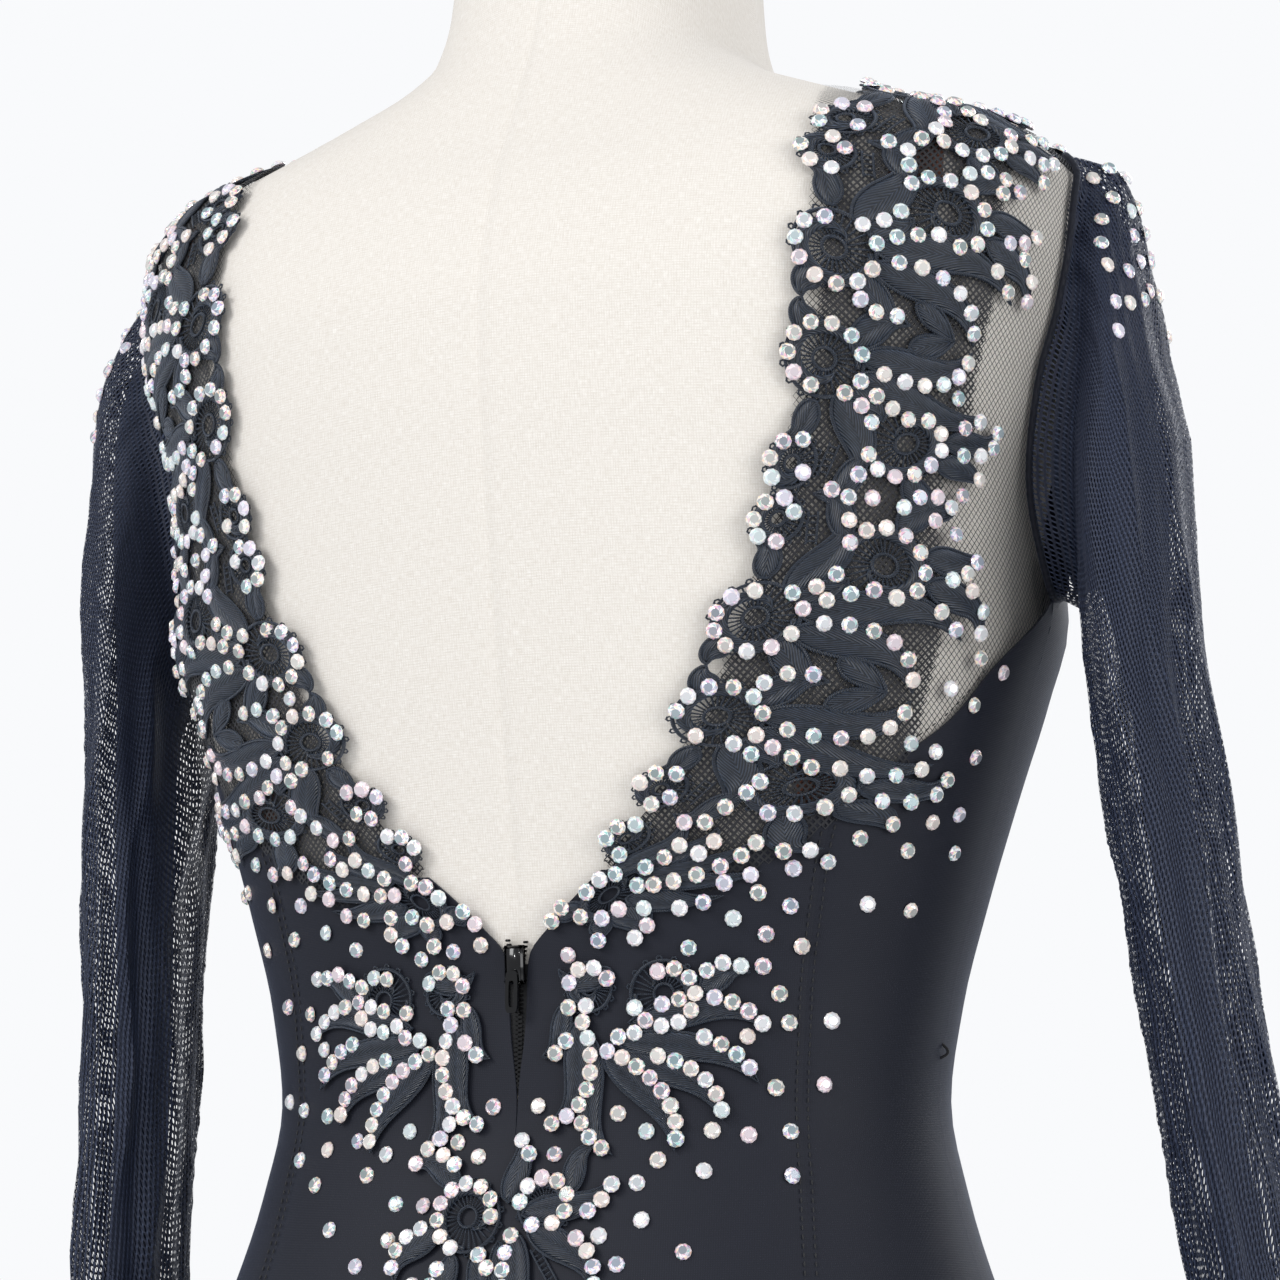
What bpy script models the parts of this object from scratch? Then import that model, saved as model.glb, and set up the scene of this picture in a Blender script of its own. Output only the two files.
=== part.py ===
"""A ballroom dance dress on a limbless dress form.

The dress is open to the waist at the back, with net yokes, raised lace motifs along the opening,
a short zip, long narrow sleeves and a flared skirt. It stands on a padded torso, pole and base.
Lengths in the tables are millimetres, and heights there are above or below the waist.
World units are metres, +Z up: the wearer faces -Y, so the back of the dress faces +Y.
"""
import math

import bmesh
import bpy
import numpy as np
from mathutils import Vector

MM = 0.001
COLLECTION = "ballroom_dress_on_form"

# Heights
WAIST = 1040.0
HIP_SEAM = -200.0
HEM = -990.0
UNDERARM = 176.0
SHOULDER_TIP = 338.0
FRONT_NECKLINE = 262.0

# Cloth and gaps
JERSEY_WALL = 1.5
NET_WALL = 1.2
SLEEVE_WALL = 1.5
SKIRT_WALL = 2.0
SEAM_GAP = 0.3
FORM_CLEARANCE = 3.8
FRONT_EASE = 5.0
LACE_LIFT = 0.8

# Outer surface of the dress: height, half width, depth to the back, depth to the front, and
# how far the cloth stands off the form at the sides
FIGURE = np.array([
    (-262, 175, 124, 112, 0), (-200, 178, 128, 112, 0), (-150, 170, 122, 110, 0),
    (-100, 155, 110, 105, 0), (-66, 141, 98, 98, 0), (-33, 131, 88, 92, 0), (0, 125, 82, 88, 0),
    (35, 130, 82, 92, 0), (69, 139, 86, 100, 0), (113, 152, 95, 118, 1), (145, 162, 102, 132, 3),
    (175, 170, 108, 136, 8), (210, 168, 114, 128, 3), (250, 174, 119, 108, 0),
    (276, 182, 120, 92, 0), (306, 186, 114, 76, 0), (325, 186, 107, 66, 0), (340, 176, 99, 60, 3),
    (352, 145, 93, 58, 7), (364, 112, 87, 58, 8), (376, 82, 81, 58, 6), (388, 66, 76, 58, 2),
    (410, 60, 70, 60, 0), (440, 58, 66, 60, 0),
], dtype=float)
BACK_POWER = 2.4
FRONT_POWER = 2.2
SIDE = 90.0

# Edges on the back as distance from the centre line and height
CENTRE_BACK = ((0, -200), (0, -150), (0, -100), (0, -60), (0, -25), (0.3, 0), (2.9, 24),
               (4.2, 47), (14, 60), (33, 77))
PRINCESS_SEAM = ((118, -200), (114, -150), (109, -100), (103, -60), (98, -25), (96, 5), (98, 35),
                 (102, 60), (106, 80), (111, 97))
SIDE_SEAM_HEIGHTS = (-200, -155, -105, -62, -22, 18, 58, 98, 138, UNDERARM)
JERSEY_TOP_CENTRE = ((33, 77), (53, 77.5), (73, 81), (92, 87), (111, 97))
JERSEY_TOP_SIDE = ((111, 97), (129, 112), (146, 128), (158, 147))
OPENING_EDGE = ((33, 77), (52, 98), (70, 124), (86, 155), (102, 200), (111, 240), (116, 280),
                (115, 315), (112, 340), (109, 355), (106, 363))
NECK_POINT_OUT = 102.0
ARMHOLE_BACK_TURN = 8.0
ARMHOLE_FRONT_TURN = 15.0
ARMHOLE_STEPS = 11
NECKLINE_STEPS = 10
NECKLINE_POWER = 2.2
FRONT_SHOULDER_STEPS = 4

# Sleeve rings after the armhole: outer point, inner point, half depth, fold depth and centre
SLEEVE_AROUND = 20
SLEEVE_FOLDS = 4
SLEEVE_LIFT = 0.8
SLEEVE_RINGS = (
    # outer x, outer height, inner x, inner height, half depth, fold depth, centre y
    (192, 337, 179, 171, 40, 0.0, -15), (203, 322, 180.5, 163, 45, 0.5, -11),
    (210, 290, 180.5, 150, 48, 1.5, -6), (214, 240, 179, 125, 48, 2.2, -1),
    (216, 170, 178, 90, 46, 2.8, 4), (217, 90, 178, 45, 44, 3.2, 5),
    (217, 20, 178, -5, 43, 3.2, 6), (218, -50, 179, -65, 42, 3.0, 7),
    (218, -120, 180, -128, 41, 2.6, 8), (217, -185, 181, -189, 38, 1.8, 9),
    (216, -240, 183, -241, 35, 0.8, 10), (215.5, -252, 183.5, -252, 34.5, 0.5, 10),
)
RIGHT_SLEEVE_SPLAY = math.tan(math.radians(7.0))
SPLAY_FROM = 165.0

# Skirt rows: drop below the hip seam, half width, half depth and flute depth
SKIRT_FLUTES = 12
SKIRT_STEPS_PER_FLUTE = 6
SKIRT_ROWS = (
    (0, 178.0, 120.0, 0), (60, 182, 132, 2), (160, 210, 168, 6), (300, 249, 221, 12),
    (450, 297, 281, 18), (620, 356, 350, 24), (790, 415, 415, 30),
)

# Form below and above the dress
TORSO_AROUND = 32
TORSO_HEIGHTS = (-255, -225, -190, -150, -105, -66, -30, 0, 35, 69, 105, 140, 172, 205, 240, 272,
                 300, 322, 338, 352, 364, 376, 388, 405, 435)
CAP_PROFILE = ((0, 477), (16, 476), (21, 470), (17, 463), (40, 458), (60, 452), (63, 446),
               (60, 434.7), (0, 434.7))
POLE_RADIUS = 14.0
POLE_SEAT = 0.35
BASE_PROFILE = ((0, 48), (26, 48), (30, 44), (34, 30), (90, 24), (150, 20), (162, 14), (165, 8),
                (165, 0), (0, 0))
TURNED_STEPS = 28

# Zip at the foot of the opening
CHAIN_ROWS = ((1.2, 12), (2.1, 24), (2.9, 36), (3.5, 47))
CHAIN_SINK = 0.2
CHAIN_WALL = 1.1
SLIDER_HEIGHT = 46.0
SLIDER_LENGTH = 13.0
SLIDER_WIDTH = 6.8
SLIDER_THICK = 3.0
SLIDER_LIFT = 0.5
TAB_WIDTH = 4.6
TAB_LENGTH = 14.5
TAB_THICK = 1.2
TAB_HINGE_HEIGHT = 44.0
TAB_CLEARANCE = 0.35

# Lace band beside the opening: inner and outer edge, from the zip up and over the shoulder
LACE_BAND = (
    # inner x, inner height, outer x, outer height, on the back (1) or the front (-1)
    (11, 57, 41, 48, 1), (27, 78, 72, 65, 1), (47, 102, 110, 86, 1), (65, 129, 140, 114, 1),
    (81, 161, 151, 152, 1), (97, 200, 152, 195, 1), (108, 245, 161, 231, 1),
    (112, 285, 170, 267, 1), (111, 325, 175, 305, 1), (100, 368, 171, 341, 0),
    (96, 357, 159, 338, -1),
)
LACE_CELLS = 7
CELL_GAP = 1.6
MOTIF_HALF_LENGTH = 26.0
MOTIF_BREADTH = 60.0
LEAF_RIM = 1.0
LEAF_CROWN = 1.9
SCROLL_CROWN = 2.0
SCROLL_SIDES = 10
LEAF_SECTIONS = ((0.22, 0.72), (0.5, 1.0), (0.8, 0.6))
LAYER_STEP = 0.06

# Motif layouts: scrolls are (along, across, radius, hole radius);
# leaves are (root along, root across, tip along, tip across, breadth, bow)
SPRAY_SCROLLS = ((-10, 11, 11.5, 4.4), (10, 40, 9.5, 3.4))
SPRAY_LEAVES = (
    (-3, 17, 24, 8, 8.5, 3), (-15, 19, -20, 50, 8.5, -3), (-5, 19, 6, 35, 8, 2),
    (6, 46, -9, 57, 8, -2), (16, 36, 24.5, 20, 7.5, 2), (15, 46, 23, 57, 7, 0),
)
FOOT_SCROLLS = ((-8, 20, 11.5, 4.4),)
FOOT_LEAVES = (
    (-2, 26, 23, 44, 8.5, 2), (-12, 26, -21, 50, 8, -2), (-3, 14, 22, 6, 8.5, 3),
    (-7, 27, 2, 54, 8, 1),
)
FLANK_SCROLLS = ((-14, 10, 11, 4.2), (14, 2, 8.5, 3.2))
FLANK_LEAVES = (
    (-9, 6, 10, 2, 8, 0), (18, -1, 37, -14, 8, 2), (-16, 3, -24, -26, 8.5, 3),
    (12, -2, 4, -27, 8, -2), (-9, 14, 16, 24, 8, -2),
)
CENTRE_SCROLLS = ((-13, 6, 10.5, 4.0), (13, 6, 10.5, 4.0))
CENTRE_LEAVES = (
    (-7, 5, 7, 5, 7, 0), (0, 4, 0, 28, 8, 0), (-17, 0, -31, -24, 8.5, -2),
    (17, 0, 31, -24, 8.5, 2), (-10, -1, -7, -32, 8, 1), (10, -1, 7, -32, 8, -1),
    (-19, 9, -36, 18, 7.5, 2), (19, 9, 36, 18, 7.5, -2),
)
FLANK_PLACE = (48.0, 12.0)
CENTRE_PLACE = (0.0, -44.0)

# Finishes: colour, roughness, metallic
LINEN = ((0.87, 0.82, 0.74), 0.9, 0.0)
JERSEY = ((0.018, 0.018, 0.024), 0.75, 0.0)
NET = ((0.02, 0.02, 0.026), 0.8, 0.0)
MESH = ((0.016, 0.019, 0.032), 0.7, 0.0)
LACE = ((0.02, 0.026, 0.036), 0.45, 0.0)
STEEL = ((0.02, 0.02, 0.022), 0.2, 0.9)
WOOD = ((0.42, 0.25, 0.13), 0.5, 0.0)


def eased(table, column, at):
    """One column of a table read at a place between its rows, without overshoot."""
    places, values = table[:, 0], table[:, column]
    steps = np.diff(places)
    slopes = np.diff(values) / steps
    row = int(np.clip(np.searchsorted(places, at) - 1, 0, len(places) - 2))

    def lean(index):
        if index in (0, len(places) - 1):
            return slopes[0] if index == 0 else slopes[-1]
        before, after = slopes[index - 1], slopes[index]
        return 0.0 if before * after <= 0 else 2 * before * after / (before + after)

    t = (at - places[row]) / steps[row]
    h = steps[row]
    return ((1 + 2 * t) * (1 - t) ** 2 * values[row] + t * (1 - t) ** 2 * h * lean(row)
            + t * t * (3 - 2 * t) * values[row + 1] + t * t * (t - 1) * h * lean(row + 1))


def figure_point(turn, height, form=False):
    """Point on the dress, or on the form's line, at a turn in degrees from the centre back."""
    width = eased(FIGURE, 1, height) - (eased(FIGURE, 4, height) if form else 0.0)
    angle = math.radians(turn)
    across, along = math.sin(angle), math.cos(angle)
    back = along > 0
    depth = eased(FIGURE, 2 if back else 3, height) - (FRONT_EASE if form and not back else 0.0)
    power = BACK_POWER if back else FRONT_POWER
    reach = ((abs(across) / width) ** power + (abs(along) / depth) ** power) ** (-1 / power)
    return np.array((reach * across, reach * along, WAIST + height))


def skin(turn, height, lift=0.0, form=False):
    """Point lifted off the figure's surface along its normal."""
    point = figure_point(turn, height, form)
    step = 0.2
    around = figure_point(turn + step, height, form) - figure_point(turn - step, height, form)
    upward = figure_point(turn, height + step, form) - figure_point(turn, height - step, form)
    normal = np.cross(upward, around)
    return point + normal / np.linalg.norm(normal) * lift


def back_place(out, height):
    """Turn and height of a point on the back at a distance from the centre line."""
    width, depth = eased(FIGURE, 1, height), eased(FIGURE, 2, height)
    share = max(0.0, 1 - (abs(out) / width) ** BACK_POWER)
    return math.degrees(math.atan2(out, depth * share ** (1 / BACK_POWER))), height


def front_place(out, height):
    """Turn and height of a point on the front at a distance from the centre line."""
    width, depth = eased(FIGURE, 1, height), eased(FIGURE, 3, height)
    share = max(0.0, 1 - (abs(out) / width) ** FRONT_POWER)
    return math.degrees(math.atan2(out, -depth * share ** (1 / FRONT_POWER))) % 360, height


def shoulder_place(out):
    """Turn and height on the shoulder seam at a distance from the centre line."""
    low, high = 326.0, 400.0
    for _ in range(40):
        middle = (low + high) / 2
        low, high = (middle, high) if eased(FIGURE, 1, middle) > out else (low, middle)
    return SIDE, low


def on_side(places, side):
    """The same places on the wearer's left (+1) or right (-1)."""
    return [(side * turn, height) for turn, height in places]


def add_object(name, mesh, finish):
    """Put a mesh in the dress's collection under its name, with its own material."""
    obj = bpy.data.objects.new(name, mesh)
    bpy.data.collections[COLLECTION].objects.link(obj)
    colour, roughness, metallic = finish
    material = bpy.data.materials.new(name)
    material.use_nodes = True
    shader = material.node_tree.nodes["Principled BSDF"]
    shader.inputs["Base Color"].default_value = (*colour, 1)
    shader.inputs["Roughness"].default_value = roughness
    shader.inputs["Metallic"].default_value = metallic
    mesh.materials.clear()
    mesh.materials.append(material)
    return obj


def wall_mesh(name, outer, inner, closed=False):
    """Closed mesh between two grids of points, open strips or rings that close on themselves."""
    rows, columns = len(outer), len(outer[0])
    bm = bmesh.new()
    front = [[bm.verts.new(Vector(point) * MM) for point in row] for row in outer]
    back = [[bm.verts.new(Vector(point) * MM) for point in row] for row in inner]
    for i in range(rows - 1):
        for j in range(columns if closed else columns - 1):
            k = (j + 1) % columns
            bm.faces.new((front[i][j], front[i][k], front[i + 1][k], front[i + 1][j]))
            bm.faces.new((back[i][j], back[i + 1][j], back[i + 1][k], back[i][k]))
    for i in (0, rows - 1):
        for j in range(columns if closed else columns - 1):
            k = (j + 1) % columns
            bm.faces.new((front[i][j], back[i][j], back[i][k], front[i][k]))
    if not closed:
        for j in (0, columns - 1):
            for i in range(rows - 1):
                bm.faces.new((front[i][j], front[i + 1][j], back[i + 1][j], back[i][j]))
    bmesh.ops.recalc_face_normals(bm, faces=bm.faces)
    mesh = bpy.data.meshes.new(name)
    bm.to_mesh(mesh)
    bm.free()
    mesh.shade_smooth()
    return mesh


def side_run():
    """Heights of the figure and the length along its side line up to each."""
    heights = np.arange(FIGURE[0, 0], FIGURE[-1, 0], 0.5)
    widths = np.array([eased(FIGURE, 1, height) for height in heights])
    steps = np.hypot(np.diff(heights), np.diff(widths))
    return heights, np.concatenate(((0.0,), np.cumsum(steps)))


def blended_grid(*edges):
    """Turns and heights over bottom, top, start and end edges, even along the side line."""
    heights, runs = side_run()
    bottom, top, start, end = (
        np.array([(turn, np.interp(height, heights, runs)) for turn, height in edge])
        for edge in edges)
    rows, columns = len(start), len(bottom)
    grid = np.zeros((rows, columns, 2))
    for i in range(rows):
        t = i / (rows - 1)
        for j in range(columns):
            s = j / (columns - 1)
            corners = ((1 - s) * (1 - t) * bottom[0] + s * (1 - t) * bottom[-1]
                       + (1 - s) * t * top[0] + s * t * top[-1])
            grid[i, j] = ((1 - t) * bottom[j] + t * top[j] + (1 - s) * start[i] + s * end[i]
                          - corners)
    grid[..., 1] = np.interp(grid[..., 1], runs, heights)
    return grid


def draw_in(grid, gap):
    """Move the edges of a grid inwards so that neighbours stay a gap apart at the seam."""
    drawn = grid.copy()

    def pull(edge, inside):
        length = np.linalg.norm(skin(*edge) - skin(*inside))
        return edge + (inside - edge) * (gap / 2 / length)

    for i in range(len(grid)):
        drawn[i, 0] = pull(drawn[i, 0], drawn[i, 1])
        drawn[i, -1] = pull(drawn[i, -1], drawn[i, -2])
    for j in range(len(grid[0])):
        drawn[0, j] = pull(drawn[0, j], drawn[1, j])
        drawn[-1, j] = pull(drawn[-1, j], drawn[-2, j])
    return drawn


def add_panel(name, edges, wall, finish, lift=0.0):
    """Cloth panel over the figure between four edges."""
    grid = draw_in(blended_grid(*edges), SEAM_GAP)
    outer = [[skin(turn, height, lift) for turn, height in row] for row in grid]
    inner = [[skin(turn, height, lift - wall) for turn, height in row] for row in grid]
    return add_object(name, wall_mesh(name, outer, inner), finish)


def armhole_edge(turn_out, side_sign):
    """Half an armhole from the underarm to the shoulder tip, bowed towards back or front."""
    middle, half = (UNDERARM + SHOULDER_TIP) / 2, (SHOULDER_TIP - UNDERARM) / 2
    angles = [math.pi * step / ARMHOLE_STEPS for step in range(ARMHOLE_STEPS + 1)]
    return [(SIDE + side_sign * turn_out * math.sin(a), middle - half * math.cos(a)) for a in angles]


def shoulder_edge(steps):
    """Shoulder seam from the neck point to the tip."""
    tip = eased(FIGURE, 1, SHOULDER_TIP)
    outs = [NECK_POINT_OUT + (tip - NECK_POINT_OUT) * k / steps for k in range(steps + 1)]
    return [shoulder_place(out) for out in outs]


def side_seam():
    """Side seam from the hip to the underarm."""
    return [(SIDE, height) for height in SIDE_SEAM_HEIGHTS]


def build_back_panels(side, word):
    """Centre back, side back and net yoke of one side."""
    centre = [back_place(*place) for place in CENTRE_BACK]
    princess = [back_place(*place) for place in PRINCESS_SEAM]
    seam = side_seam()
    top_centre = [back_place(*place) for place in JERSEY_TOP_CENTRE]
    top_side = [back_place(*place) for place in JERSEY_TOP_SIDE] + [(SIDE, UNDERARM)]

    def hip(first, last, steps):
        turns = np.linspace(first[0], last[0], steps + 1)
        return [(turn, HIP_SEAM) for turn in turns]

    add_panel(f"back_centre_{word}", [on_side(edge, side) for edge in (
        hip(centre[0], princess[0], len(top_centre) - 1), top_centre, centre, princess)],
        JERSEY_WALL, JERSEY)
    add_panel(f"back_side_{word}", [on_side(edge, side) for edge in (
        hip(princess[0], seam[0], len(top_side) - 1), top_side, princess, seam)],
        JERSEY_WALL, JERSEY)
    yoke_foot = top_centre + top_side[1:]
    opening = [back_place(*place) for place in OPENING_EDGE] + [shoulder_place(NECK_POINT_OUT)]
    add_panel(f"back_yoke_{word}", [on_side(edge, side) for edge in (
        yoke_foot, shoulder_edge(len(yoke_foot) - 1), opening,
        armhole_edge(ARMHOLE_BACK_TURN, -1))], NET_WALL, NET)


def build_front_panel():
    """Front in one piece, from the side seams up to the armholes, shoulders and neckline."""
    left = side_seam() + armhole_edge(ARMHOLE_FRONT_TURN, 1)[1:]
    right = [(360 - turn, height) for turn, height in left]
    shoulder = shoulder_edge(FRONT_SHOULDER_STEPS)
    neckline = []
    for k in range(1, NECKLINE_STEPS):
        out = NECK_POINT_OUT * math.cos(math.pi * k / NECKLINE_STEPS)
        rise = (abs(out) / NECK_POINT_OUT) ** NECKLINE_POWER
        height = FRONT_NECKLINE + (shoulder[0][1] - FRONT_NECKLINE) * rise
        neckline.append(front_place(out, height))
    top = shoulder[::-1] + neckline + [(360 - turn, height) for turn, height in shoulder]
    bottom = [(turn, HIP_SEAM) for turn in np.linspace(SIDE, 360 - SIDE, len(top))]
    add_panel("front_panel", (bottom, top, left, right), JERSEY_WALL, JERSEY)


def inner_grid(outer, wall, closed):
    """Grid moved inwards by a wall along the normals of its points."""
    points = np.array(outer)
    if closed:
        around = np.roll(points, -1, axis=1) - np.roll(points, 1, axis=1)
    else:
        around = np.gradient(points, axis=1)
    along = np.gradient(points, axis=0)
    normals = np.cross(around, along)
    normals /= np.linalg.norm(normals, axis=2, keepdims=True)
    centres = points.mean(axis=1, keepdims=True)
    facing = np.sum(normals * (centres - points), axis=2).sum()
    return points + normals * (wall if facing > 0 else -wall)


def build_sleeve(side, word):
    """Long sleeve: rings from the armhole to the wrist, with soft lengthwise folds."""
    splay = RIGHT_SLEEVE_SPLAY if side < 0 else 0.0
    middle, half = (UNDERARM + SHOULDER_TIP) / 2, (SHOULDER_TIP - UNDERARM) / 2
    angles = [2 * math.pi * k / SLEEVE_AROUND for k in range(SLEEVE_AROUND)]
    head = []
    for angle in angles:
        bow = ARMHOLE_BACK_TURN if math.sin(angle) > 0 else ARMHOLE_FRONT_TURN
        place = (SIDE - bow * math.sin(angle), middle + half * math.cos(angle))
        head.append(skin(*place, SLEEVE_LIFT + SLEEVE_WALL))
    rings = [head]
    for outer_x, outer_z, inner_x, inner_z, depth, fold, centre_y in SLEEVE_RINGS:
        ring = []
        for angle in angles:
            ripple = 1 - fold / depth * (1 - math.cos(SLEEVE_FOLDS * angle + 0.6))
            share = math.cos(angle) * ripple
            x = (outer_x + inner_x) / 2 + (outer_x - inner_x) / 2 * share
            z = (outer_z + inner_z) / 2 + (outer_z - inner_z) / 2 * share
            x += splay * max(0.0, SPLAY_FROM - z)
            ring.append((x, centre_y + depth * math.sin(angle) * ripple, WAIST + z))
        rings.append(ring)
    inner = inner_grid(rings, SLEEVE_WALL, True)
    for j, angle in enumerate(angles):
        bow = ARMHOLE_BACK_TURN if math.sin(angle) > 0 else ARMHOLE_FRONT_TURN
        place = (SIDE - bow * math.sin(angle), middle + half * math.cos(angle))
        inner[0][j] = skin(*place, SLEEVE_LIFT)
    flip = np.array((side, 1, 1))
    add_object(f"sleeve_{word}",
               wall_mesh(f"sleeve_{word}", np.array(rings) * flip, inner * flip, True), MESH)


def build_skirt():
    """Flared skirt in four gores, hanging in flutes that deepen to the hem."""
    steps = SKIRT_FLUTES * SKIRT_STEPS_PER_FLUTE // 4
    gores = (("back_left", 0), ("front_left", 90), ("front_right", 180), ("back_right", 270))
    for word, first in gores:
        turns = [math.radians(first + 90 * k / steps) for k in range(steps + 1)]
        rows = []
        for drop, half_width, half_depth, flute in SKIRT_ROWS:
            height = HIP_SEAM - SEAM_GAP / 2 - drop * (HIP_SEAM - HEM) / SKIRT_ROWS[-1][0]
            power = BACK_POWER + (2 - BACK_POWER) * drop / SKIRT_ROWS[-1][0]
            row = []
            for turn in turns:
                reach = (abs(math.sin(turn) / half_width) ** power
                         + abs(math.cos(turn) / half_depth) ** power) ** (-1 / power)
                if drop == 0:
                    reach = np.linalg.norm(figure_point(math.degrees(turn), HIP_SEAM)[:2])
                reach -= flute * math.cos(SKIRT_FLUTES * turn)
                row.append(np.array((reach * math.sin(turn), reach * math.cos(turn),
                                     WAIST + height)))
            rows.append(row)
        rows = np.array(rows)
        inner = inner_grid(rows, SKIRT_WALL, False)
        inner[..., 2] = rows[..., 2]
        for edge, inward in ((0, 1), (-1, -1)):
            along = np.array((math.cos(turns[edge]), -math.sin(turns[edge]), 0))
            rows[:, edge] += along * inward * SEAM_GAP / 2
            inner[:, edge] += along * ((rows[:, edge] - inner[:, edge]) @ along)[:, None]
        name = f"skirt_{word}"
        add_object(name, wall_mesh(name, rows, inner), JERSEY)


def build_torso():
    """Padded torso of the form, closed at the neck and under the hips."""
    bm = bmesh.new()
    rings = []
    for height in TORSO_HEIGHTS:
        turns = [360 * k / TORSO_AROUND for k in range(TORSO_AROUND)]
        rings.append([bm.verts.new(Vector(skin(turn, height, -FORM_CLEARANCE, True)) * MM)
                      for turn in turns])
    for lower, upper in zip(rings, rings[1:]):
        for k in range(TORSO_AROUND):
            following = (k + 1) % TORSO_AROUND
            bm.faces.new((lower[k], upper[k], upper[following], lower[following]))
    for ring in (rings[0], rings[-1]):
        level = ring[0].co.z
        for vert in ring:
            vert.co.z = level
        bm.faces.new(ring)
    bmesh.ops.recalc_face_normals(bm, faces=bm.faces)
    mesh = bpy.data.meshes.new("form_torso")
    bm.to_mesh(mesh)
    bm.free()
    mesh.shade_smooth()
    add_object("form_torso", mesh, LINEN)


def add_turned(name, profile, finish, raised=0.0):
    """Turned piece from a profile of radius and height, listed down its outer side."""
    mesh = bpy.data.meshes.new(name)
    points = [(radius * MM, 0, (height + raised) * MM) for radius, height in profile]
    mesh.from_pydata(points, [(k, k + 1) for k in range(len(points) - 1)], [])
    obj = add_object(name, mesh, finish)
    screw = obj.modifiers.new("turn", "SCREW")
    screw.axis = "Z"
    screw.steps = TURNED_STEPS
    screw.render_steps = TURNED_STEPS
    screw.use_merge_vertices = True
    screw.merge_threshold = 0.0001
    screw.use_smooth_shade = True
    return obj


def build_stand(torso_foot):
    """Neck cap, pole and round base of the form."""
    add_turned("form_neck_cap", CAP_PROFILE, WOOD, WAIST + POLE_SEAT)
    base_top = BASE_PROFILE[0][1] + POLE_SEAT
    bpy.ops.mesh.primitive_cylinder_add(vertices=20, radius=POLE_RADIUS * MM,
                                        depth=(torso_foot - POLE_SEAT - base_top) * MM)
    pole = bpy.context.object
    pole.name = "form_pole"
    pole.location.z = (torso_foot - POLE_SEAT + base_top) / 2 * MM
    mesh = pole.data
    for collection in list(pole.users_collection):
        collection.objects.unlink(pole)
    place = pole.location.copy()
    bpy.data.objects.remove(pole)
    add_object("form_pole", mesh, STEEL).location = place
    add_turned("form_base", BASE_PROFILE, WOOD)


def add_block(name, size, centre, lean, finish):
    """Small bevelled block, leaning with the back's surface."""
    bm = bmesh.new()
    bmesh.ops.create_cube(bm, size=1.0)
    bmesh.ops.scale(bm, vec=Vector(size) * MM, verts=bm.verts)
    mesh = bpy.data.meshes.new(name)
    bm.to_mesh(mesh)
    bm.free()
    obj = add_object(name, mesh, finish)
    bevel = obj.modifiers.new("edge", "BEVEL")
    bevel.width = 0.35 * MM
    bevel.segments = 1
    obj.location = Vector(centre) * MM
    obj.rotation_euler.x = lean
    return obj


def build_zip():
    """Zip chain in its gap, the slider at its top and the pull tab hanging from the slider."""
    right = [back_place(-half, height) for half, height in CHAIN_ROWS]
    left = [back_place(half, height) for half, height in CHAIN_ROWS]
    add_panel("zip_chain", ((right[0], left[0]), (right[-1], left[-1]), right, left),
              CHAIN_WALL, STEEL, -CHAIN_SINK)
    low, high = figure_point(0, 30), figure_point(0, 60)
    lean = -math.atan2(high[1] - low[1], high[2] - low[2])
    add_block("zip_slider", (SLIDER_WIDTH, SLIDER_THICK, SLIDER_LENGTH),
              skin(0, SLIDER_HEIGHT, SLIDER_LIFT + SLIDER_THICK / 2), lean, STEEL)
    tab_lift = SLIDER_LIFT + SLIDER_THICK + TAB_CLEARANCE + TAB_THICK / 2
    hinge = skin(0, TAB_HINGE_HEIGHT, tab_lift)
    tab = add_block("zip_pull_tab", (TAB_WIDTH, TAB_THICK, TAB_LENGTH), hinge, 0.0, STEEL)
    for vert in tab.data.vertices:
        vert.co.z -= TAB_LENGTH / 2 * MM


class Band:
    """Ruled strip between two edges on the figure, measured in millimetres."""

    def __init__(self, rows):
        """Take rows of inner and outer edge and measure along the middle."""
        inner, outer = [], []
        for inner_x, inner_z, outer_x, outer_z, face in rows:
            if face == 0:
                inner.append(shoulder_place(inner_x))
                outer.append(shoulder_place(outer_x))
            else:
                place = back_place if face > 0 else front_place
                inner.append(place(inner_x, inner_z))
                outer.append(place(outer_x, outer_z))
        middles = [figure_point((a[0] + b[0]) / 2, (a[1] + b[1]) / 2) for a, b in zip(inner, outer)]
        runs = [0.0]
        for first, last in zip(middles, middles[1:]):
            runs.append(runs[-1] + np.linalg.norm(last - first))
        widths = [np.linalg.norm(figure_point(*a) - figure_point(*b)) for a, b in zip(inner, outer)]
        self.length = runs[-1]
        self.table = np.array([(run, *a, *b, width) for run, a, b, width
                               in zip(runs, inner, outer, widths)])

    def width(self, along):
        """Width of the strip at a distance along it."""
        return eased(self.table, 5, along)

    def place(self, along, across):
        """Turn and height at a distance along the strip and across it."""
        share = across / self.width(along)
        turn, height = (eased(self.table, k, along) * (1 - share)
                        + eased(self.table, k + 2, along) * share for k in (1, 2))
        return turn, height


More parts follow.
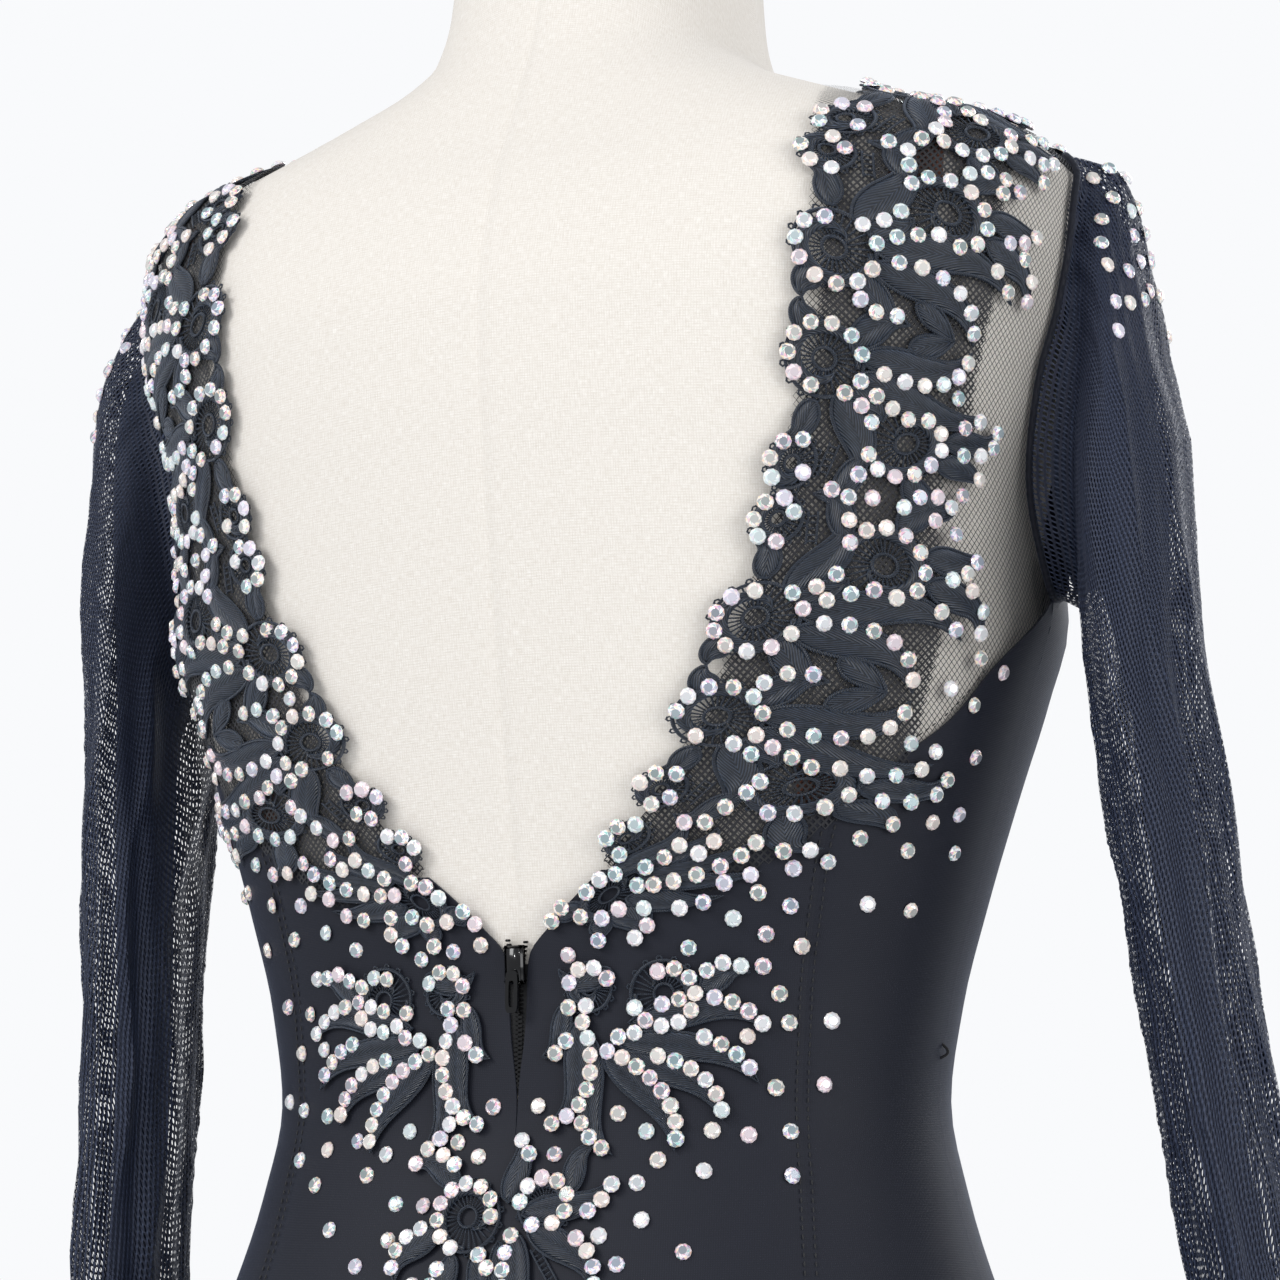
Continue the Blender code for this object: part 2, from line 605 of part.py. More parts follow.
def leaf_solid(root_p, root_q, tip_p, tip_q, breadth, bow, base):
    """Pointed leaf with a raised midrib, bowed to one side."""
    root, tip = np.array((root_p, root_q)), np.array((tip_p, tip_q))
    run = tip - root
    side = np.array((-run[1], run[0])) / np.linalg.norm(run)
    bm = bmesh.new()

    def ring(share, swell):
        middle = root + run * share + side * bow * 4 * share * (1 - share)
        left, right = middle + side * breadth / 2 * swell, middle - side * breadth / 2 * swell
        return [bm.verts.new((*point, base + rise)) for point, rise in (
            (left, 0), (right, 0), (right, LEAF_RIM), (middle, LEAF_CROWN), (left, LEAF_RIM))]

    def end(point):
        return [bm.verts.new((*point, base + rise)) for rise in (0, LEAF_RIM)]

    first, last = end(root), end(tip)
    rings = [ring(share, swell) for share, swell in LEAF_SECTIONS]
    for a, b in zip(rings, rings[1:]):
        for k in range(5):
            bm.faces.new((a[k], a[(k + 1) % 5], b[(k + 1) % 5], b[k]))
    for (low, high), edge in ((first, rings[0]), (last, rings[-1])):
        bm.faces.new((low, edge[0], edge[1]))
        bm.faces.new((low, edge[1], edge[2], high))
        bm.faces.new((high, edge[2], edge[3]))
        bm.faces.new((high, edge[3], edge[4]))
        bm.faces.new((high, edge[4], edge[0], low))
    bmesh.ops.recalc_face_normals(bm, faces=bm.faces)
    return bm


def scroll_solid(centre_p, centre_q, radius, hole, base):
    """Rounded scroll: a ring with a raised crown and an open middle."""
    bm = bmesh.new()
    rings = []
    for k in range(SCROLL_SIDES):
        angle = 2 * math.pi * (k + 0.37) / SCROLL_SIDES
        direction = np.array((math.cos(angle), math.sin(angle)))
        spots = ((radius, 0), (radius * 0.62, SCROLL_CROWN), (hole, 0))
        rings.append([bm.verts.new((*(np.array((centre_p, centre_q)) + direction * reach),
                                    base + rise)) for reach, rise in spots])
    for k in range(SCROLL_SIDES):
        a, b = rings[k], rings[(k + 1) % SCROLL_SIDES]
        for n in range(3):
            bm.faces.new((a[n], a[(n + 1) % 3], b[(n + 1) % 3], b[n]))
    bmesh.ops.recalc_face_normals(bm, faces=bm.faces)
    return bm


def joined_motif(name, scrolls, leaves):
    """Flat mesh of a motif, its scrolls and leaves joined into one body."""
    solids = [scroll_solid(*scroll, LAYER_STEP * k) for k, scroll in enumerate(scrolls)]
    solids += [leaf_solid(*leaf, LAYER_STEP * (k + len(scrolls))) for k, leaf in enumerate(leaves)]
    others = bpy.data.collections.new(name + "_parts")
    bpy.context.scene.collection.children.link(others)
    made = []
    for k, bm in enumerate(solids):
        mesh = bpy.data.meshes.new(f"{name}_{k}")
        bm.to_mesh(mesh)
        bm.free()
        obj = bpy.data.objects.new(f"{name}_{k}", mesh)
        (others if k else bpy.context.scene.collection).objects.link(obj)
        made.append(obj)
    union = made[0].modifiers.new("join", "BOOLEAN")
    union.operation = "UNION"
    union.solver = "EXACT"
    union.operand_type = "COLLECTION"
    union.collection = others
    bpy.context.view_layer.update()
    evaluated = made[0].evaluated_get(bpy.context.evaluated_depsgraph_get())
    joined = bpy.data.meshes.new_from_object(evaluated)
    for obj in made:
        bpy.data.objects.remove(obj)
    bpy.data.collections.remove(others)
    bm = bmesh.new()
    bm.from_mesh(joined)
    bmesh.ops.remove_doubles(bm, verts=bm.verts, dist=0.02)
    bmesh.ops.dissolve_degenerate(bm, edges=bm.edges, dist=0.02)
    bmesh.ops.triangulate(bm, faces=bm.faces)
    bm.to_mesh(joined)
    bm.free()
    joined.name = name
    return joined


def add_motif(name, scrolls, leaves, lay):
    """Motif bent onto the dress: lay turns along, across and rise into a point."""
    mesh = joined_motif(name, scrolls, leaves)
    for vert in mesh.vertices:
        along, across, rise = vert.co
        vert.co = Vector(lay(along, across, rise)) * MM
    bm = bmesh.new()
    bm.from_mesh(mesh)
    bmesh.ops.recalc_face_normals(bm, faces=bm.faces)
    bm.to_mesh(mesh)
    bm.free()
    add_object(name, mesh, LACE)


def build_lace_bands():
    """Lace motifs in a row beside the opening, on each side, from the zip over the shoulder."""
    band = Band(LACE_BAND)
    cell = band.length / LACE_CELLS
    squeeze = (cell - CELL_GAP) / 2 / MOTIF_HALF_LENGTH
    for side, word in ((1, "left"), (-1, "right")):
        for number in range(LACE_CELLS):
            centre = cell * (number + 0.5)
            turned = -1 if number % 2 else 1

            def lay(along, across, rise):
                run = centre + turned * along * squeeze
                spread = across / MOTIF_BREADTH * band.width(run)
                turn, height = band.place(run, spread)
                return skin(turn, height, LACE_LIFT + rise) * np.array((side, 1, 1))

            layout = (FOOT_SCROLLS, FOOT_LEAVES) if number == 0 else (SPRAY_SCROLLS, SPRAY_LEAVES)
            add_motif(f"lace_{word}_{number + 1}", *layout, lay)


def build_lace_sprays():
    """Motif on each flank of the zip and one under its foot."""
    def laid_at(out, middle, side):
        def lay(along, across, rise):
            turn, height = back_place(out + along, middle + across)
            return skin(turn, height, LACE_LIFT + rise) * np.array((side, 1, 1))
        return lay

    for side, word in ((1, "left"), (-1, "right")):
        add_motif(f"lace_flank_{word}", FLANK_SCROLLS, FLANK_LEAVES, laid_at(*FLANK_PLACE, side))
    add_motif("lace_centre", CENTRE_SCROLLS, CENTRE_LEAVES, laid_at(*CENTRE_PLACE, 1))


def main():
    """Clear the scene and build every piece of the dress and its form."""
    for obj in list(bpy.data.objects):
        bpy.data.objects.remove(obj)
    collection = bpy.data.collections.new(COLLECTION)
    bpy.context.scene.collection.children.link(collection)
    build_torso()
    build_stand(WAIST + TORSO_HEIGHTS[0])
    for side, word in ((1, "left"), (-1, "right")):
        build_back_panels(side, word)
        build_sleeve(side, word)
    build_front_panel()
    build_skirt()
    build_zip()
    build_lace_bands()
    build_lace_sprays()


main()
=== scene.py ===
import logging
import math
from dataclasses import dataclass, replace
from enum import Enum
from typing import Callable

import bmesh
import bpy
import numpy as np
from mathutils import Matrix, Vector
from mathutils.bvhtree import BVHTree


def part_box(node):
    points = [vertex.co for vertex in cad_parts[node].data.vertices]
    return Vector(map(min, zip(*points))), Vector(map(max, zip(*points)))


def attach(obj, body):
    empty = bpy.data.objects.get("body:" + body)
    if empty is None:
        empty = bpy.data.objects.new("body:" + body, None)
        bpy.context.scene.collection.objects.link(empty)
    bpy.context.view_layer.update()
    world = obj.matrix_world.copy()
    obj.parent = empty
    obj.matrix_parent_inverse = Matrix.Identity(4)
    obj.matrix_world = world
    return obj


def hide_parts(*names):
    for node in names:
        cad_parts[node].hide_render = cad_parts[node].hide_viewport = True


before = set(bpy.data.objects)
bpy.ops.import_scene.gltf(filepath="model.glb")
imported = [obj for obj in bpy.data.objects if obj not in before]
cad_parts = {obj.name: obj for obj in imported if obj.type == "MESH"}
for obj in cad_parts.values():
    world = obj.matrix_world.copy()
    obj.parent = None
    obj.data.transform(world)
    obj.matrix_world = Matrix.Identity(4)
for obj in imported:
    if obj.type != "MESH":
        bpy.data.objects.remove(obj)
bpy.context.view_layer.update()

MM = 0.001
WAIST = 1040.0
BODY = "dress_and_form"
TAB_BODY = "pull_tab"
WELD = 1e-6
LEAST_SHARE = 0.3

log = logging.getLogger("dress")
Grid = np.ndarray


def linear(code: str) -> tuple[float, float, float, float]:
    """Turn an sRGB hex colour into linear RGBA.

    Args:
        code: Colour such as "#1a2b3c".

    Returns:
        Red, green, blue and an alpha of one.
    """
    parts = [int(code[k:k + 2], 16) / 255 for k in (1, 3, 5)]
    made = [c / 12.92 if c <= 0.04045 else ((c + 0.055) / 1.055) ** 2.4 for c in parts]
    return (*made, 1.0)


def add_node(tree: bpy.types.NodeTree, kind: str, settings: dict | None = None,
             inputs: dict | None = None) -> bpy.types.Node:
    """Add one node with its settings, values and links.

    Args:
        tree: Tree that takes the node.
        kind: Blender's type name of the node.
        settings: Properties of the node by name.
        inputs: Sockets by name or number, each given a value or another node's output.

    Returns:
        The new node.
    """
    node = tree.nodes.new(kind)
    for key, value in (settings or {}).items():
        setattr(node, key, value)
    fill(tree, node, inputs or {})
    return node


def fill(tree: bpy.types.NodeTree, node: bpy.types.Node, inputs: dict) -> None:
    """Give a node's sockets their values and links.

    Args:
        tree: Tree that holds the node.
        node: The node.
        inputs: Sockets by name or number, each given a value or another node's output.
    """
    for key, value in inputs.items():
        if isinstance(key, int):
            socket = node.inputs[key]
        else:
            socket = next(s for s in node.inputs if s.name == key and s.enabled)
        if isinstance(value, bpy.types.NodeSocket):
            tree.links.new(value, socket)
        else:
            socket.default_value = value


def output(node: bpy.types.Node, name: str) -> bpy.types.NodeSocket:
    """The node's enabled output of that name."""
    return next(s for s in node.outputs if s.name == name and s.enabled)


def reckon(tree: bpy.types.NodeTree, operation: str, *values: object) -> bpy.types.NodeSocket:
    """Output of a math node that is given its values in order."""
    return add_node(tree, "ShaderNodeMath", {"operation": operation},
                    dict(enumerate(values))).outputs[0]


def ripple(tree: bpy.types.NodeTree, place: bpy.types.NodeSocket,
           pitch: float) -> bpy.types.NodeSocket:
    """Sine ridges at a pitch along a place, both in metres, from 0 to 1."""
    turns = reckon(tree, "MULTIPLY", place, 2 * math.pi / pitch)
    return reckon(tree, "MULTIPLY_ADD", reckon(tree, "SINE", turns), 0.5, 0.5)


def clouds(tree: bpy.types.NodeTree, scale: float, detail: float) -> bpy.types.NodeSocket:
    """Noise on Object coordinates."""
    place = add_node(tree, "ShaderNodeTexCoord")
    return add_node(tree, "ShaderNodeTexNoise", {}, {
        "Vector": place.outputs["Object"], "Scale": scale, "Detail": detail}).outputs[0]


def surface_places(tree: bpy.types.NodeTree) -> tuple[bpy.types.NodeSocket, bpy.types.NodeSocket]:
    """Distance across and along the cloth, in metres, from its UV map."""
    uv = add_node(tree, "ShaderNodeUVMap", {"uv_map": "UVMap"})
    split = add_node(tree, "ShaderNodeSeparateXYZ", {}, {0: uv.outputs[0]})
    return split.outputs[0], split.outputs[1]


def blend_colours(tree: bpy.types.NodeTree, factor: object, first: object,
                  second: object) -> bpy.types.NodeSocket:
    """Mix two colours by a factor: the first at 0 and the second at 1."""
    mix = add_node(tree, "ShaderNodeMix", {"data_type": "RGBA"},
                   {"Factor": factor, "A": first, "B": second})
    return output(mix, "Result")


@dataclass(frozen=True)
class Finish:
    """A material's plain values, shared by every finish."""

    name: str
    colour: str
    roughness: float
    metallic: float = 0.0

    def start(self) -> tuple[bpy.types.Material, bpy.types.NodeTree, bpy.types.Node]:
        """Make the material with its Principled shader."""
        material = bpy.data.materials.new(self.name)
        material.use_nodes = True
        tree = material.node_tree
        shader = tree.nodes["Principled BSDF"]
        fill(tree, shader, {"Base Color": linear(self.colour), "Roughness": self.roughness,
                            "Metallic": self.metallic})
        return material, tree, shader

    def bump(self, tree: bpy.types.NodeTree, shader: bpy.types.Node,
             height: bpy.types.NodeSocket, depth: float) -> None:
        """Raise the shading normal by a pattern from 0 to 1, to a depth in metres."""
        relief = add_node(tree, "ShaderNodeBump", {}, {
            "Height": height, "Distance": depth, "Strength": 1.0})
        tree.links.new(relief.outputs[0], shader.inputs["Normal"])


@dataclass(frozen=True)
class PlainLinen(Finish):
    """Plain-woven linen: a matt cream cloth with uneven threads, drawn a little coarse."""

    shade: str = "#CFC7BC"
    thread: float = 0.00095
    slub: float = 2480.0
    relief: float = 0.00010

    def build(self) -> bpy.types.Material:
        """Make the material."""
        material, tree, shader = self.start()
        across, along = surface_places(tree)
        warp = ripple(tree, across, self.thread)
        weft = ripple(tree, along, self.thread)
        uv = add_node(tree, "ShaderNodeUVMap", {"uv_map": "UVMap"})
        threads = []
        for squash in ((0.12, 1.0, 1.0), (1.0, 0.12, 1.0)):
            stretched = add_node(tree, "ShaderNodeMapping", {},
                                 {"Vector": uv.outputs[0], "Scale": squash})
            threads.append(add_node(tree, "ShaderNodeTexNoise", {}, {
                "Vector": stretched.outputs[0], "Scale": self.slub, "Detail": 2.0}).outputs[0])
        woven = reckon(tree, "MULTIPLY", warp, weft)
        uneven = reckon(tree, "MULTIPLY", *threads)
        mixed = reckon(tree, "MULTIPLY_ADD", uneven, 1.9, -0.12)
        tone = reckon(tree, "MULTIPLY_ADD", woven, 0.35, mixed)
        colour = blend_colours(tree, tone, linear(self.shade), linear(self.colour))
        fill(tree, shader, {"Base Color": colour, "Sheen Weight": 0.15})
        self.bump(tree, shader, tone, self.relief)
        return material


@dataclass(frozen=True)
class StretchJersey(Finish):
    """Matt knitted jersey: fine wales that catch a soft grey light at grazing angles."""

    # Lighter colour of the painted highlight on the knit's ridges.
    lit: str = "#242733"
    wale: float = 0.0008
    course: float = 0.0006
    relief: float = 0.00004

    def build(self) -> bpy.types.Material:
        """Make the material."""
        material, tree, shader = self.start()
        across, along = surface_places(tree)
        knit = reckon(tree, "MULTIPLY", ripple(tree, across, self.wale),
                      ripple(tree, along, self.course))
        # Painted highlight: the knit's ridges, mottled by noise, are painted in the lighter lit
        # colour; the sheen below adds the light at grazing angles.
        tone = reckon(tree, "MULTIPLY", clouds(tree, 16.0, 3.0), knit)
        colour = blend_colours(tree, tone, linear(self.colour), linear(self.lit))
        fill(tree, shader, {
            "Base Color": colour, "Specular IOR Level": 0.22, "Sheen Weight": 0.35,
            "Sheen Roughness": 0.35, "Sheen Tint": linear("#98A2BC")})
        self.bump(tree, shader, knit, self.relief)
        return material


@dataclass(frozen=True)
class StretchMesh(Finish):
    """Openwork stretch mesh: rows of small holes that show light where few layers lie."""

    # Lighter colour of the painted highlight along the mesh's rows.
    lit: str = "#363F55"
    hole: float = 0.0019
    cut_above: float = 0.14
    relief: float = 0.00006

    def build(self) -> bpy.types.Material:
        """Make the material."""
        material, tree, shader = self.start()
        across, along = surface_places(tree)
        columns = ripple(tree, across, self.hole)
        rows = ripple(tree, along, self.hole * 1.45)
        cut = add_node(tree, "ShaderNodeMapRange", {"interpolation_type": "SMOOTHSTEP"}, {
            "Value": reckon(tree, "MULTIPLY", columns, rows), "From Min": self.cut_above,
            "From Max": self.cut_above + 0.1, "To Min": 1.0, "To Max": 0.0})
        # Painted highlight: the mesh's rows are painted in the lighter lit colour.
        colour = blend_colours(tree, rows, linear(self.colour), linear(self.lit))
        fill(tree, shader, {
            "Alpha": cut.outputs[0], "Base Color": colour, "Specular IOR Level": 0.3,
            "Sheen Weight": 0.25, "Sheen Roughness": 0.35, "Sheen Tint": linear("#8A93AC")})
        self.bump(tree, shader, columns, self.relief)
        return material


@dataclass(frozen=True)
class PlainThread(Finish):
    """Dull twisted thread, too fine to show its twist."""

    def build(self) -> bpy.types.Material:
        """Make the material."""
        material, tree, shader = self.start()
        dark = tuple(c * 0.6 for c in linear(self.colour)[:3]) + (1.0,)
        colour = blend_colours(tree, clouds(tree, 900.0, 2.0), dark, linear(self.colour))
        fill(tree, shader, {"Base Color": colour, "Sheen Weight": 0.2})
        return material


@dataclass(frozen=True)
class SatinStitch(Finish):
    """Rayon satin stitch: close slanting threads with a blue-grey lustre."""

    # Lighter blue-grey of the painted sheen on the stitch ridges.
    lustre: str = "#3E4859"
    thread: float = 0.0007
    relief: float = 0.00025

    def build(self) -> bpy.types.Material:
        """Make the material."""
        material, tree, shader = self.start()
        across, _ = surface_places(tree)
        ridge = ripple(tree, across, self.thread)
        # Painted sheen: the stitch ridges, mottled by noise, are painted towards the lustre colour;
        # the shader's sheen adds real gloss.
        tone = reckon(tree, "MULTIPLY", ridge, clouds(tree, 420.0, 2.0))
        colour = blend_colours(tree, tone, linear(self.colour), linear(self.lustre))
        fill(tree, shader, {"Base Color": colour, "Sheen Weight": 0.4, "Sheen Roughness": 0.35,
                            "Sheen Tint": linear("#8E9EB8")})
        self.bump(tree, shader, ridge, self.relief)
        return material


@dataclass(frozen=True)
class FoiledCrystal(Finish):
    """Foil-backed cut glass with an iridescent coat: its base colour holds painted reflections,
    glints and iridescent tints on each facet, under the clear coat's own reflections.
    """

    def build(self) -> bpy.types.Material:
        """Make the material."""
        material, tree, shader = self.start()
        facet, tint, gleam = (
            add_node(tree, "ShaderNodeAttribute", {"attribute_name": name})
            for name in ("facet", "tint", "gleam"))
        # Painted glint: each stone's facets are whitened towards #F6F2F3 by its glint share.
        lit = blend_colours(tree, output(gleam, "Fac"), output(facet, "Color"), linear("#F6F2F3"))
        # Painted iridescence: the stone's pale tint multiplies its facets.
        mix = add_node(tree, "ShaderNodeMix", {"data_type": "RGBA", "blend_type": "MULTIPLY"}, {
            "Factor": 1.0, "A": lit, "B": output(tint, "Color")})
        fill(tree, shader, {"Base Color": output(mix, "Result"), "Coat Weight": 0.7,
                            "Coat Roughness": 0.03})
        return material


@dataclass(frozen=True)
class GlossMetal(Finish):
    """Enamelled zip metal or satin-painted steel: smooth, with faint wear in its gloss."""

    wear: float = 0.12

    def build(self) -> bpy.types.Material:
        """Make the material."""
        material, tree, shader = self.start()
        rough = add_node(tree, "ShaderNodeMapRange", {}, {
            "Value": clouds(tree, 260.0, 4.0), "To Min": self.roughness,
            "To Max": self.roughness + self.wear})
        fill(tree, shader, {"Roughness": rough.outputs[0], "Coat Weight": 0.5})
        return material


@dataclass(frozen=True)
class VarnishedBeech(Finish):
    """Turned beech under satin varnish: fine growth lines and short flecks."""

    late: str = "#8A5A33"
    relief: float = 0.0001

    def build(self) -> bpy.types.Material:
        """Make the material."""
        material, tree, shader = self.start()
        place = add_node(tree, "ShaderNodeTexCoord")
        grain = add_node(tree, "ShaderNodeMapping", {}, {
            "Vector": place.outputs["Object"], "Scale": (4.0, 90.0, 90.0)})
        lines = add_node(tree, "ShaderNodeTexNoise", {}, {
            "Vector": grain.outputs[0], "Scale": 1.6, "Detail": 5.0, "Distortion": 0.6})
        colour = blend_colours(tree, lines.outputs[0], linear(self.colour), linear(self.late))
        fill(tree, shader, {"Base Color": colour, "Coat Weight": 0.4, "Coat Roughness": 0.2})
        self.bump(tree, shader, lines.outputs[0], self.relief)
        return material


LINEN = PlainLinen("linen_plain_woven", "#ECE8E2", 0.85)
JERSEY = StretchJersey("jersey_knitted", "#171922", 0.6)
MESH = StretchMesh("stretch_mesh_openwork", "#1D2233", 0.6)
FOLDED_MESH = StretchMesh("stretch_mesh_folded_inside", "#222839", 0.6, cut_above=1.2)
NET_THREAD = PlainThread("net_thread", "#1A1B21", 0.75)
SEAM_THREAD = PlainThread("seam_thread", "#0E0E13", 0.7)
STAY = PlainThread("stay_tape_woven", "#7C4A36", 0.8)
SATIN = SatinStitch("guipure_satin_stitch", "#0C1016", 0.4)
CRYSTAL = FoiledCrystal("crystal_foiled", "#FFFFFF", 0.1, 0.15)
TAPE = PlainThread("zip_tape_woven", "#0B0B0F", 0.8)
ZIP_BLACK = GlossMetal("zip_enamelled", "#0B0B0D", 0.12, 0.6)
POLE_BLACK = GlossMetal("steel_satin_painted", "#141416", 0.35, 0.2)
BEECH = VarnishedBeech("beech_varnished", "#A9764A", 0.42)


class Paints:
    """Each finish's material, made once."""

    made: dict[str, bpy.types.Material] = {}

    @classmethod
    def of(cls, finish: Finish) -> bpy.types.Material:
        """Give the finish's material."""
        if finish.name not in cls.made:
            cls.made[finish.name] = finish.build()
        return cls.made[finish.name]


def grid_faces(rows: int, columns: int, closed: bool = False, start: int = 0,
               flip: bool = False) -> list[tuple[int, ...]]:
    """Quads over a grid of points.

    Args:
        rows: Number of rows.
        columns: Points in a row.
        closed: Whether a row's end joins its start.
        start: Number of the first point.
        flip: Whether the faces turn the other way.

    Returns:
        Point numbers of each quad.
    """
    faces = []
    for i in range(rows - 1):
        for j in range(columns if closed else columns - 1):
            k = (j + 1) % columns
            quad = (start + i * columns + j, start + i * columns + k,
                    start + (i + 1) * columns + k, start + (i + 1) * columns + j)
            faces.append(quad[::-1] if flip else quad)
    return faces


def link(name: str, data: bpy.types.ID) -> bpy.types.Object:
    """Put data in the scene as a new object."""
    obj = bpy.data.objects.new(name, data)
    bpy.context.scene.collection.objects.link(obj)
    return obj


def circle(count: int) -> np.ndarray:
    """Angles evenly round a circle."""
    return np.linspace(0, 2 * math.pi, count, endpoint=False)


def on_circle(angles: np.ndarray) -> np.ndarray:
    """Points of the unit circle at some angles."""
    return np.stack((np.cos(angles), np.sin(angles)), axis=1)


def unit(rows: np.ndarray) -> np.ndarray:
    """Rows scaled to a length of one."""
    return rows / np.linalg.norm(rows, axis=-1, keepdims=True)


def headings(path: np.ndarray, looped: bool = False) -> np.ndarray:
    """Unit headings along a path, which may join its start."""
    if looped:
        return unit(np.roll(path, -1, axis=0) - np.roll(path, 1, axis=0))
    return unit(np.gradient(path, axis=0))


def left_of(heading: np.ndarray) -> np.ndarray:
    """Flat directions square to flat headings."""
    return np.stack((-heading[:, 1], heading[:, 0]), axis=1)


def run_along(path: np.ndarray) -> np.ndarray:
    """Distance along a path at each of its points."""
    return np.concatenate(((0.0,), np.cumsum(np.linalg.norm(np.diff(path, axis=0), axis=1))))


def make_object(name: str, points: np.ndarray, faces: list[tuple[int, ...]], finish: Finish,
                uv: np.ndarray | None = None) -> bpy.types.Object:
    """Make a mesh object at the origin.

    Args:
        name: Object's name.
        points: Points in metres, one row each.
        faces: Point numbers of each face.
        finish: Its material.
        uv: Place on the surface of each point, in metres.

    Returns:
        The object, linked to the scene and shaded smooth.
    """
    mesh = bpy.data.meshes.new(name)
    mesh.from_pydata(np.asarray(points, dtype=float).tolist(), [], faces)
    if uv is not None:
        layer = mesh.uv_layers.new(name="UVMap")
        numbers = np.zeros(len(mesh.loops), dtype=np.int32)
        mesh.loops.foreach_get("vertex_index", numbers)
        layer.data.foreach_set("uv", np.asarray(uv, dtype=np.float32)[numbers].ravel())
    mesh.shade_smooth()
    mesh.materials.append(Paints.of(finish))
    return link(name, mesh)


def mend(obj: bpy.types.Object, weld: float = 0.0, closing: bool = False) -> None:
    """Turn a mesh's faces outwards, with its doubles welded and its holes closed first.

    Args:
        obj: Object whose mesh is mended.
        weld: Distance in metres within which points are one.
        closing: Whether open rims get a face.
    """
    bm = bmesh.new()
    bm.from_mesh(obj.data)
    if weld:
        bmesh.ops.remove_doubles(bm, verts=bm.verts, dist=weld)
    if closing:
        bmesh.ops.holes_fill(bm, edges=bm.edges)
    bmesh.ops.recalc_face_normals(bm, faces=bm.faces)
    bm.to_mesh(obj.data)
    bm.free()


def steady_slopes(places: np.ndarray, values: np.ndarray) -> np.ndarray:
    """Slopes at each row of a table that never overshoot."""
    slopes = np.diff(values) / np.diff(places)
    leans = np.zeros(len(values))
    leans[0], leans[-1] = slopes[0], slopes[-1]
    for k in range(1, len(values) - 1):
        before, after = slopes[k - 1], slopes[k]
        leans[k] = 0.0 if before * after <= 0 else 2 * before * after / (before + after)
    return leans


def eased(places: np.ndarray, values: np.ndarray, at: np.ndarray) -> np.ndarray:
    """Read a table smoothly between its rows.

    Args:
        places: Increasing places of the rows.
        values: Value of each row.
        at: Places to read.

    Returns:
        A value for each place.
    """
    at = np.asarray(at, dtype=float)
    leans = steady_slopes(places, values)
    row = np.clip(np.searchsorted(places, at) - 1, 0, len(places) - 2)
    h = places[row + 1] - places[row]
    t = (at - places[row]) / h
    return ((1 + 2 * t) * (1 - t) ** 2 * values[row] + t * (1 - t) ** 2 * h * leans[row]
            + t * t * (3 - 2 * t) * values[row + 1] + t * t * (t - 1) * h * leans[row + 1])


